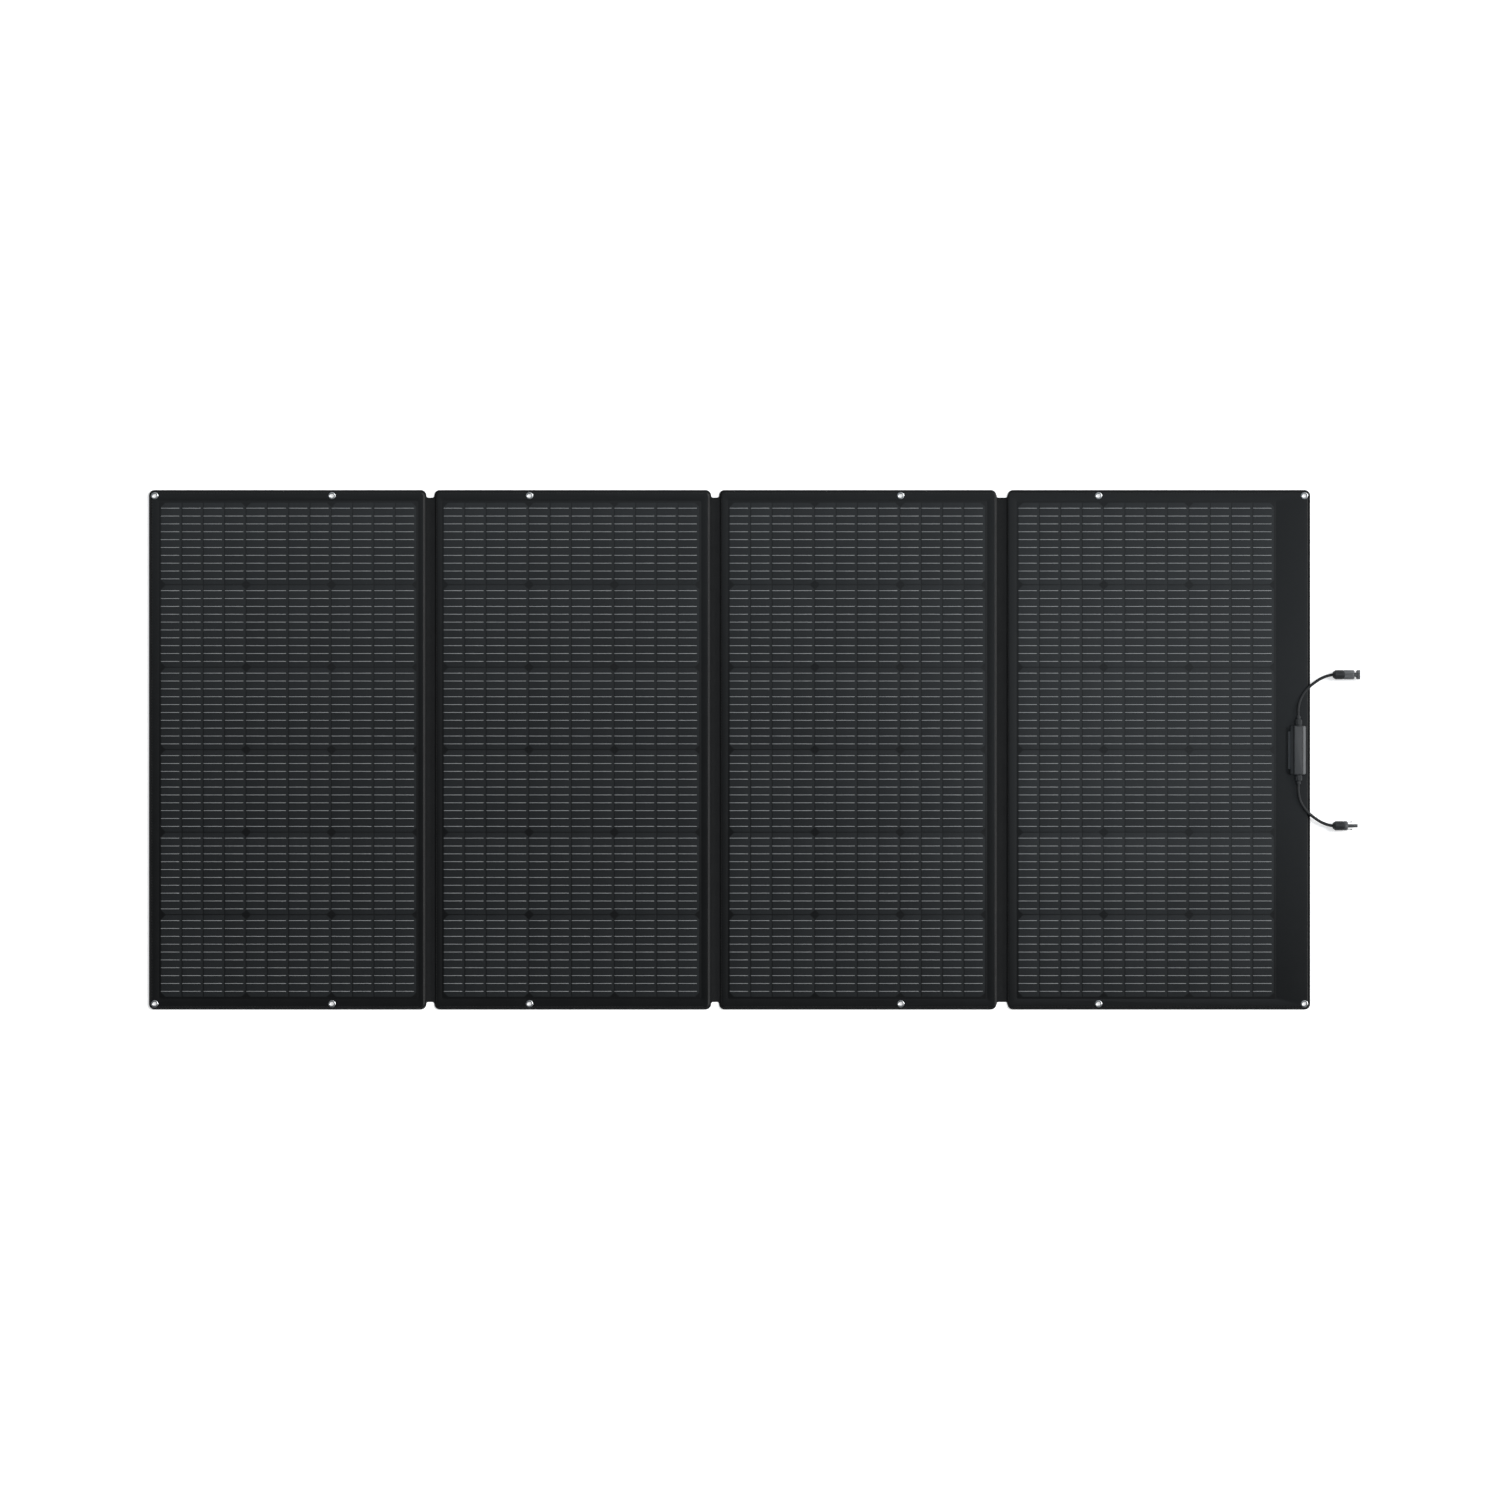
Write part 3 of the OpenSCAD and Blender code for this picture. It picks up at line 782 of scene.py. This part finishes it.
def make_box_cover(look):
    """The box's cover: sloping sides, a rounded rim, and a top plate inside a narrow groove."""
    shape = Shape()
    shape.skin(box_loops([
        (13.6, 9.4, 49.5, 1.6), (13.75, 9.6, 49.8, 1.9), (14.1, 9.6, 49.8, 1.9), (17.2, 8.8, 49.6, 1.7),
        (17.5, 8.65, 49.5, 1.6), (17.6, 8.4, 49.25, 1.5), (17.6, 8.15, 49, 1.4), (17.4, 8.05, 48.9, 1.3),
        (16.5, 8.05, 48.9, 1.3), (16.5, 7.45, 48.3, 1.1), (17.8, 7.4, 48.25, 1.1), (17.95, 7.3, 48.15, 1),
        (18, 7.1, 47.95, 0.9),
    ]))
    cover = shape.make("junction_box_cover", [look], 30)
    return finish_piece(cover, "panel_4", "box_cover", "box_cover")


def make_gland(name, node, side, look):
    """Cable gland: a collar, a ribbed grip, a shoulder, a neck, and the ring the lead comes out of."""
    def change(radius, along, turn):
        if GRIP_FROM < along < GRIP_TO:
            off = abs((turn * GLAND_RIBS / 360 + 0.5) % 1 - 0.5) * 2
            radius -= GROOVE_DEPTH * min(1.0, max(0.0, (off - GROOVE_WALL) / WALL_WIDTH))
        return radius, along
    profile = [
        (4.5, -1.5), (4.5, 0.05), (7.3, 0.05), (7.8, 0.4), (7.8, 1.6), (7.45, 1.9), (7.0, 2.0), (7.0, 2.4),
        (7.9, 2.6), (7.9, 6), (7.9, 9.5), (7.9, 11.2), (7.4, 12), (6.4, 12.5), (5.1, 12.7),
        (4.7, 12.9), (4.5, 13.2), (4.5, 14.5), (4.7, 14.8), (5.1, 15), (5.4, 15.3), (5.4, 17.6),
        (5.25, 18.2), (4.7, 18.6), (4.1, 18.8), (3.9, 19), (3.8, 19.6), (3.5, 20.8), (3.3, 21), (3.05, 21),
        (3.02, 18),
    ]
    mouth = (BOX_X, BOX_Y + side * BOX_HALF_LEN, GLAND_AXIS_Z)
    place = axes(mouth, (0, 0, 1), (side, 0, 0), (0, side, 0))
    shape = Shape()
    shape.skin(turned_loops(profile, place, TURNED_SIDES, change))
    return finish_piece(shape.make(name, [look], 32), "panel_4", "box_shell", node)


# ---- the panels ----

# The film's edge, from its lower lip up onto the face: (distance out from the board, height).
FILM_EDGE = [
    (2.3, 1.62), (2.6, 1.85), (2.5, 2.2), (1.9, 2.8), (1.0, 3.5), (0.1, 4.2),
    (-0.6, 4.62), (-1.2, 4.87), (-1.8, 4.98), (-2.4, 5.0),
]
FILM_EDGE_OUTSIDE = 0.3
FILM_UNDERSIDE = 3.71
FILM_LIP = 1.62
FILM_FIT = 0.02
# the line pressed round the cells: (distance out from them, height)
PRESSED_LINE = ((5.2, 5), (4.6, 4.9), (4.1, 4.9), (3.5, 5))
# the cosine of the steepest tilt that counts as the face
FACE_TILT = 0.96
HOLE_FIT = 0.1 * MM


def edge_height(out):
    """The height of the film's edge at a distance out from the board, in millimetres."""
    steps = FILM_EDGE[1:]
    for (out_low, z_low), (out_high, z_high) in zip(steps, steps[1:]):
        if out_high <= out <= out_low:
            return z_low + (z_high - z_low) * (out_low - out) / (out_low - out_high)
    return FILM_EDGE[-1][1]


def make_laminate(p, face, edge):
    """The front laminate: a face with a sloping edge at the folds, and a pressed line round the cells."""
    def level(out, height):
        outside = min(out, FILM_EDGE_OUTSIDE)
        left = outside if p == 1 else out
        right = outside if p == 4 else out
        area = grown(BOARD[p], left * MM, right * MM, outside * MM)
        return rounded_loop(area, BOARD_CORNER_R + out * MM, height * MM)
    loops = [level(-3, FILM_UNDERSIDE), level(FILM_FIT, FILM_UNDERSIDE), level(FILM_FIT, FILM_LIP)]
    loops += [level(out, height) for out, height in FILM_EDGE]
    for out, height in PRESSED_LINE:
        area = grown(CELLS[p], out * MM, out * MM, out * MM)
        loops.append(rounded_loop(area, 4 * MM, height * MM))
    shape = Shape()
    shape.skin(loops)
    laminate = shape.make(f"laminate_{p}", [face, edge], 30)
    drill(laminate, eyelet_places(p), BARREL_R - HOLE_FIT, 30)
    for polygon in laminate.data.polygons:
        polygon.material_index = 0 if polygon.normal.z > FACE_TILT else 1
    return finish_piece(laminate, f"panel_{p}", "film", f"front_film_{p}")


def strip_outline(x, y, inset, cut_left, cut_right, height):
    """A cell strip's outline, moved in by inset, with the cut corners of its cell."""
    half = STRIP_LEN / 2 - inset
    x0, x1 = x + inset, x + STRIP_W - inset
    leg = CORNER_CUT - CUT_SHARE * inset
    points = []
    if cut_right:
        points += [(x1, y - half + leg), (x1, y + half - leg), (x1 - leg, y + half)]
    else:
        points += [(x1, y - half), (x1, y + half)]
    if cut_left:
        points += [(x0 + leg, y + half), (x0, y + half - leg), (x0, y - half + leg), (x0 + leg, y - half)]
    else:
        points += [(x0, y + half), (x0, y - half)]
    if cut_right:
        points.append((x1 - leg, y - half))
    return [Vector((a, b, height)) for a, b in points]


def row_y(r):
    """The middle of a row of cells."""
    return (r - (ROWS - 1) / 2) * (STRIP_LEN + ROW_GAP)


def strip_x(p, s):
    """The left edge of a cell strip."""
    return CELLS[p][0] + s * (STRIP_W + STRIP_GAP)


# the cells' tone, which their look turns into a base colour
TONE_MIDDLE, TONE_SPREAD = 0.35, 0.9


def make_cells(p, look):
    """The cell strips, each raised a hair above the film with a bevelled edge and its own tone."""
    shape = Shape()
    tones = []
    levels = ((0, FACE_Z - 0.1 * MM), (0, FACE_Z + 0.02 * MM), (0.15 * MM, FACE_Z + 0.05 * MM),
              (0.45 * MM, FACE_Z + 0.07 * MM))
    for r in range(ROWS):
        for s in range(STRIPS):
            place = s % STRIPS_PER_CELL
            cut_left, cut_right = place == 0, place == STRIPS_PER_CELL - 1
            count = len(shape.faces)
            shape.skin([
                strip_outline(strip_x(p, s), row_y(r), inset, cut_left, cut_right, height)
                for inset, height in levels
            ])
            drift = noise.noise(Vector((s * 1.7 + p * 13.1, r * 2.3, 0.5)))
            tone = TONE_MIDDLE + TONE_SPREAD * drift
            tones += [tone] * (len(shape.faces) - count)
    cells = shape.make(f"solar_cells_{p}", [look], 30)
    cells.data.attributes.new("tone", "FLOAT", "FACE").data.foreach_set("value", tones)
    return finish_piece(cells, f"panel_{p}", "cells", f"cell_strips_{p}")


def wire_loops(x, y):
    """A length of flat wire with rounded upper edges, from its left end."""
    loops = []
    for inset, height in ((0, 0.02), (0.02, 0.12), (0.1, 0.17), (0.22, 0.18)):
        left, right = x + inset * MM, x + WIRE_LEN - inset * MM
        half = WIRE_W / 2 - inset * MM
        corners = ((right, y - half), (right, y + half), (left, y + half), (left, y - half))
        loops.append([Vector((*corner, FACE_Z + height * MM)) for corner in corners])
    return loops


def make_wires(p, look):
    """The flat wires: ten short lengths on every cell strip."""
    shape = Shape()
    for r in range(ROWS):
        for w in range(WIRES):
            y = row_y(r) + (w - (WIRES - 1) / 2) * WIRE_PITCH
            for s in range(STRIPS):
                shape.skin(wire_loops(strip_x(p, s) - WIRE_LEAD, y))
    wires = shape.make(f"flat_wires_{p}", [look], 60)
    return finish_piece(wires, f"panel_{p}", "ribbon", f"ribbons_{p}")


def make_back(p, look):
    """The woven back of a panel, cut out round the eyelets' washers."""
    levels = ((0.7, 0.3), (0.35, 0.36), (0.25, 0.5), (0.35, 0.7), (0.7, 0.8))
    shape = Shape()
    shape.skin([
        rounded_loop(grown(CLOTH[p], *[-inset * MM] * 3), CORNER_R - inset * MM, height * MM, 12)
        for inset, height in levels
    ])
    back = shape.make(f"woven_back_{p}", [look])
    drill(back, eyelet_places(p), EYELET_FLANGE_R - HOLE_FIT)
    return finish_piece(back, f"panel_{p}", "back_cloth", f"back_cloth_{p}")


# The folded hem's section, from its flap under the sheet round to the board: (distance in, height).
HEM_SECTION = [
    (8.0, 0.34), (7.6, 0.2), (0.8, 0.2), (0.25, 0.4), (0.0, 0.8), (0.0, 3.1), (0.12, 3.7), (0.5, 4.15),
    (1.3, 4.4), (2.8, 4.42), (3.8, 4.3), (4.4, 4.0), (4.55, 3.7), (4.55, 0.7), (8.0, 0.7),
]
# below the foot the section keeps its height, and above it sinks to this share at the folds
HEM_FOOT = 0.9
HEM_LOW = 0.2
# how early the hem rises as it turns a corner from a fold
HEM_RISE = 0.7
WEB_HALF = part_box("fold_web_1_left")[1].y - WEB_FILLET
CORNER_STEPS = 12


def hem_stations(p, corners, start_x, end_x):
    """Places along the outline from one web's end to another's, as (x, y, inward x, inward y, how high
    the hem stands there), past the numbered corners, which run anticlockwise from the upper right."""
    centres = corner_centres(CLOTH[p], CORNER_R)
    # whether each corner's right or left side is a fold
    fold = (p < 4, p > 1, p > 1, p < 4)
    stations = []
    for number in corners:
        cx, cy = centres[number]
        for i in range(CORNER_STEPS + 1):
            part = i / CORNER_STEPS
            turn = math.radians(90 * (number + part))
            out = (math.cos(turn), math.sin(turn))
            rising = part if number in (0, 2) else 1 - part
            height = rising ** HEM_RISE if fold[number] else 1.0
            stations.append((cx + CORNER_R * out[0], cy + CORNER_R * out[1], -out[0], -out[1], height))
    first, last = stations[0], stations[-1]
    start = (start_x, math.copysign(WEB_HALF, first[1]), *first[2:4], 0.0)
    end = (end_x, math.copysign(WEB_HALF, last[1]), *last[2:4], 0.0)
    return [start, *stations, end]


def hem_section(station):
    """The hem's section at a station, lowered beside a fold."""
    x, y, in_x, in_y, height = station
    share = HEM_LOW + (1 - HEM_LOW) * height
    points = []
    for inward, z in HEM_SECTION:
        level = z if z <= HEM_FOOT else HEM_FOOT + (z - HEM_FOOT) * share
        points.append(Vector((x + in_x * inward * MM, y + in_y * inward * MM, level * MM)))
    return points


def make_hem(p, look):
    """The folded cloth hem round a panel, low at the folds and left out where the webs are sewn on."""
    x0, x1 = CLOTH[p][:2]
    outer = {1: [((0, 1, 2, 3), x1, x1)], 4: [((2, 3, 0, 1), x0, x0)]}
    inner = [((0, 1), x1, x0), ((2, 3), x0, x1)]
    shape = Shape()
    for corners, start_x, end_x in outer.get(p, inner):
        stations = hem_stations(p, corners, start_x, end_x)
        shape.skin([hem_section(station) for station in stations], clockwise=True)
    hem = shape.make(f"folded_hem_{p}", [look])
    return finish_piece(hem, f"panel_{p}", "hem", f"edge_hem_{p}")


# an eyelet's section: its rolled edge, its barrel and its domed flange, as (radius, height) in millimetres
EYELET_SECTION = [
    (5.0, 0.5), (5.5, 0.3), (5.7, 0.1), (5.4, 0.0), (4.8, 0.02), (4.2, 0.3), (4.0, 0.9), (4.0, 4.7),
    (4.1, 5.25), (4.4, 5.6), (4.9, 5.78), (5.6, 5.8), (6.3, 5.7), (6.9, 5.5), (7.3, 5.2), (7.4, 4.98),
    (5.0, 4.98),
]
WASHER_SECTION = [
    (5.05, 0.8), (5.05, 0.2), (5.6, 0.05), (6.6, 0.0), (7.15, 0.1), (7.4, 0.35), (7.4, 0.8),
]


def make_rings(p, name, section, look, node):
    """A metal ring in each of a panel's eyelet holes."""
    shape = Shape()
    for x, y in eyelet_places(p):
        add_ring(shape, section, x, y)
    return finish_piece(shape.make(f"{name}_{p}", [look], 50), f"panel_{p}", "eyelet", f"{node}_{p}")


def add_ring(shape, profile, x, y):
    """A closed ring turned about an upright axis; the profile runs round its section."""
    loops = turned_loops(profile, Matrix.Translation((x, y, 0)), RING_SIDES)
    faces = []
    for row in range(len(profile)):
        near, far = row * RING_SIDES, (row + 1) % len(profile) * RING_SIDES
        for k in range(RING_SIDES):
            n = (k + 1) % RING_SIDES
            faces.append([far + k, far + n, near + n, near + k])
    shape.add([point for loop in loops for point in loop], faces)


# ---- stitches ----

STITCH_PITCH = 5.9 * MM
STITCH_LEN = 4.1 * MM
THREAD_R = 0.36 * MM
THREAD_SIDES = 6
STITCH_CLEAR = 2.5 * MM
# a stitch from end to end: (share of its length, height and thickness in thread radii)
STITCH_FORM = (
    (-0.5, -0.55, 0.35), (-0.42, 0.1, 0.8), (-0.2, 0.42, 1.0),
    (0.2, 0.42, 1.0), (0.42, 0.1, 0.8), (0.5, -0.55, 0.35),
)


def add_stitches(shape, start, end, skip, side):
    """A row of stitches from one point to another, left out near any of the points to skip.
    side is 1 on the face and -1 on the back."""
    run = end - start
    count = int(run.length / STITCH_PITCH)
    ahead = run.normalized()
    across = ahead.cross(Vector((0, 0, side)))
    up = across.cross(ahead)
    turns = [2 * math.pi * k / THREAD_SIDES for k in range(THREAD_SIDES)]
    clear = EYELET_FLANGE_R + STITCH_CLEAR
    for i in range(count):
        middle = start + ahead * (STITCH_PITCH * (i + 0.5))
        if any((middle.xy - Vector(place)).length < clear for place in skip):
            continue
        loops = []
        for along, lift, thick in STITCH_FORM:
            centre = middle + ahead * (along * STITCH_LEN) + up * (lift * THREAD_R)
            loops.append([
                centre + (across * math.cos(turn) + up * math.sin(turn)) * (THREAD_R * thick)
                for turn in turns
            ])
        shape.skin(loops, clockwise=True)


# in millimetres: the web seams out from the board, the rim seams in from the cloth's edge and from the
# board's, and the height of the back's seams
SEAM_OUT = 0.35
HEM_SEAM_IN = 5.9
RIM_SEAM_IN = 1.4
BACK_SEAM_Z = 0.52


def make_stitches(p, look):
    """The seams of a panel, on the face and on the back: beside its webs, and round its outer edges."""
    shape = Shape()
    x0, x1, y0, y1 = CLOTH[p]
    inset = HEM_SEAM_IN * MM
    fold_left, fold_right = BOARD[p][0] - SEAM_OUT * MM, BOARD[p][1] + SEAM_OUT * MM
    edge_left, edge_right = x0 + inset, x1 - inset
    low, high = y0 + inset, y1 - inset
    left = edge_left if p == 1 else x0 + CORNER_R
    right = edge_right if p == 4 else x1 - CORNER_R
    holes = eyelet_places(p)
    folds = [x for x, is_fold in ((fold_left, p > 1), (fold_right, p < 4)) if is_fold]
    edges = [x for x, is_edge in ((edge_left, p == 1), (edge_right, p == 4)) if is_edge]
    face = (1, edge_height(SEAM_OUT), edge_height(-RIM_SEAM_IN))
    for side, slope_z, rim_z in (face, (-1, BACK_SEAM_Z, BACK_SEAM_Z)):
        seams = [((x, -WEB_HALF), (x, WEB_HALF), slope_z, ()) for x in folds]
        seams += [((left, y), (right, y), rim_z, holes) for y in (low, high)]
        seams += [((x, low), (x, high), rim_z, holes) for x in edges]
        for start, end, z, skip in seams:
            add_stitches(shape, Vector((*start, z * MM)), Vector((*end, z * MM)), skip, side)
    stitches = shape.make(f"stitches_{p}", [look], 80)
    return finish_piece(stitches, f"panel_{p}", "hem")


# ---- the fold webs ----

WEB_COLUMNS = 32
WEB_ROWS = 220
WEB_T = 0.72 * MM
WEB_SAG = 0.25 * MM
WEB_WRINKLE = 0.16 * MM
# the web's fillets run this far in under the panels' edges, and end in a step this wide each way
WEB_LIP = 0.8 * MM
LIP_STEP = 0.01 * MM


def web_end(x, half_gap):
    """Half the web's length at a distance from the fold, with its fillets at the panels' edges."""
    off = abs(x)
    flat = half_gap - WEB_FILLET
    if off <= flat:
        return WEB_HALF
    if off <= half_gap:
        return WEB_HALF + WEB_FILLET - math.sqrt(max(0.0, WEB_FILLET ** 2 - (off - flat) ** 2))
    return WEB_HALF + WEB_FILLET if off < half_gap + WEB_LIP else WEB_HALF


def web_height(x, y, half_gap):
    """The top of the web: flat where it is sewn on, with a slight sag and wrinkles between."""
    if abs(x) >= half_gap:
        return WEB_Z
    free = math.cos(math.pi / 2 * x / half_gap) ** 2
    broad = noise.noise(Vector((x * 90, y * 14, 1.7)))
    fine = noise.noise(Vector((x * 160, y * 55, 4.2)))
    return WEB_Z - free * (WEB_SAG + WEB_WRINKLE * (broad + 0.5 * fine))


def web_columns(sewn_left, left_edge, right_edge, sewn_right):
    """The places across a web where its rows of points stand, from the fold."""
    columns = [sewn_left, (sewn_left + left_edge) / 2]
    columns += [left_edge - WEB_LIP - LIP_STEP, left_edge - WEB_LIP + LIP_STEP]
    columns += [left_edge + (right_edge - left_edge) * i / WEB_COLUMNS for i in range(WEB_COLUMNS + 1)]
    columns += [right_edge + WEB_LIP - LIP_STEP, right_edge + WEB_LIP + LIP_STEP]
    columns += [(sewn_right + right_edge) / 2, sewn_right]
    return sorted(columns)


def web_faces(width):
    """The faces of a two-sided web whose rows are so many points wide."""
    under = width * (WEB_ROWS + 1)
    faces = []
    for row in range(WEB_ROWS):
        for c in range(width - 1):
            a = row * width + c
            faces.append([a, a + 1, a + width + 1, a + width])
            faces.append([under + a, under + a + width, under + a + width + 1, under + a + 1])
    for c in range(width - 1):
        far = WEB_ROWS * width + c
        faces.append([c, under + c, under + c + 1, c + 1])
        faces.append([far, far + 1, under + far + 1, under + far])
    for row in range(WEB_ROWS):
        a = row * width
        b = a + width - 1
        faces.append([a, a + width, under + a + width, under + a])
        faces.append([b, under + b, under + b + width, b + width])
    return faces


def make_web(f, look):
    """One piece of cloth across a fold."""
    axis = fold_x(f)
    left_edge, right_edge = CLOTH[f][1] - axis, CLOTH[f + 1][0] - axis
    sewn_left, sewn_right = BOARD[f][1] - axis, BOARD[f + 1][0] - axis
    columns = web_columns(sewn_left, left_edge, right_edge, sewn_right)
    points = []
    for layer in (0, 1):
        for row in range(WEB_ROWS + 1):
            t = 2 * row / WEB_ROWS - 1
            for x in columns:
                y = t * web_end(x, right_edge)
                z = web_height(x, y, right_edge)
                points.append((axis + x, y, z - layer * WEB_T))
    shape = Shape()
    shape.add(points, web_faces(len(columns)))
    web = shape.make(f"fold_web_{f}", [look], 50)
    uv = web.data.uv_layers.new(name="cloth")
    for loop in web.data.loops:
        point = web.data.vertices[loop.vertex_index].co
        uv.data[loop.index].uv = (point.x, point.y)
    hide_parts(f"fold_web_{f}_left", f"fold_web_{f}_right")
    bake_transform(web)


# ---- making everything ----

def dress_cad_nodes():
    """Gives the CAD nodes that stay, inside or in view, their materials."""
    board, wire = board_look(), wire_look()
    seal = rubber_look("seal_rubber", (0.012, 0.012, 0.012))
    contact = metal_look("contact_metal", (0.72, 0.68, 0.55), 0.3, 500)
    chosen = {
        "box_gasket": seal, "socket_seal": seal, "plug_seal": seal,
        "socket_contact": contact, "plug_pin": contact, "terminals": contact,
        "bypass_diodes": plastic_look("diode_case", (0.02, 0.02, 0.021), 0.45), "lead_tails": strand_look(),
    }
    for p in PANELS:
        chosen[f"core_board_{p}"] = board
        chosen[f"string_links_{p}"] = wire
    for name, look in chosen.items():
        mesh = frame["nodes"][name].data
        mesh.materials.clear()
        mesh.materials.append(look)


def make_leads():
    """Both leads with the connectors on them."""
    jacket = rubber_look("lead_jacket", (0.021, 0.022, 0.023), 0.72, 0.1)
    nut = plastic_look("connector_nut", (0.0155, 0.0165, 0.0175), 0.5)
    socket = plastic_look("socket_housing", (0.08, 0.083, 0.086), 0.48)
    # the channel floors' plastic, painted darker as shade in the recesses
    channel_shade = plastic_look("channel_painted_shade", (0.047, 0.049, 0.051), 0.55)
    plug = plastic_look("plug_housing", (0.047, 0.049, 0.051), 0.48)
    upper = make_lead("upper_cable", "lead_top", 1, jacket)
    socket_parts = [make_nut("socket_cable_nut", "socket_nut", nut), make_socket(socket, channel_shade)]
    lower = make_lead("lower_cable", "lead_bottom", -1, jacket)
    plug_parts = [make_nut("plug_cable_nut", "plug_nut", nut), make_plug(plug)]


def make_panels():
    """The four panels, layer by layer."""
    film, edge, cells, wire = film_look(), edge_look(), cell_look(), wire_look()
    back = cloth_look("woven_back", (0.016, 0.017, 0.0185), 0.9)
    hem = cloth_look("hem_cloth", (0.0045, 0.0049, 0.0053), 0.6)
    thread = thread_look()
    eyelet = metal_look("eyelet_metal", (0.36, 0.365, 0.37), 0.34, 300)
    for p in PANELS:
        make_laminate(p, film, edge)
        make_cells(p, cells)
        make_wires(p, wire)
        make_rings(p, "eyelet_rings", EYELET_SECTION, eyelet, "eyelets")
        make_rings(p, "eyelet_backs", WASHER_SECTION, eyelet, "eyelet_washers")
        make_stitches(p, thread)
        cloth = make_back(p, back)
        band = make_hem(p, hem)


def make_webs():
    """The cloth webs across the three folds."""
    web = cloth_look("web_cloth", (0.0045, 0.0049, 0.0053), 0.6, source="UV")
    for f in FOLDS:
        make_web(f, web)


def make_box():
    """The junction box and its two cable glands."""
    shell = plastic_look("box_shell", (0.068, 0.071, 0.074), 0.42)
    make_box_shell(shell, rubber_look("flange_rubber", (0.008, 0.0086, 0.0092)))
    make_box_cover(plastic_look("box_cover", (0.033, 0.0345, 0.036), 0.45))
    gland = rubber_look("gland_nylon", (0.025, 0.0265, 0.028), 0.7, 0.12)
    make_gland("upper_gland", "gland_top", 1, gland)
    make_gland("lower_gland", "gland_bottom", -1, gland)


make_camera()
make_leads()
make_room()
make_panels()
make_webs()
make_box()
dress_cad_nodes()
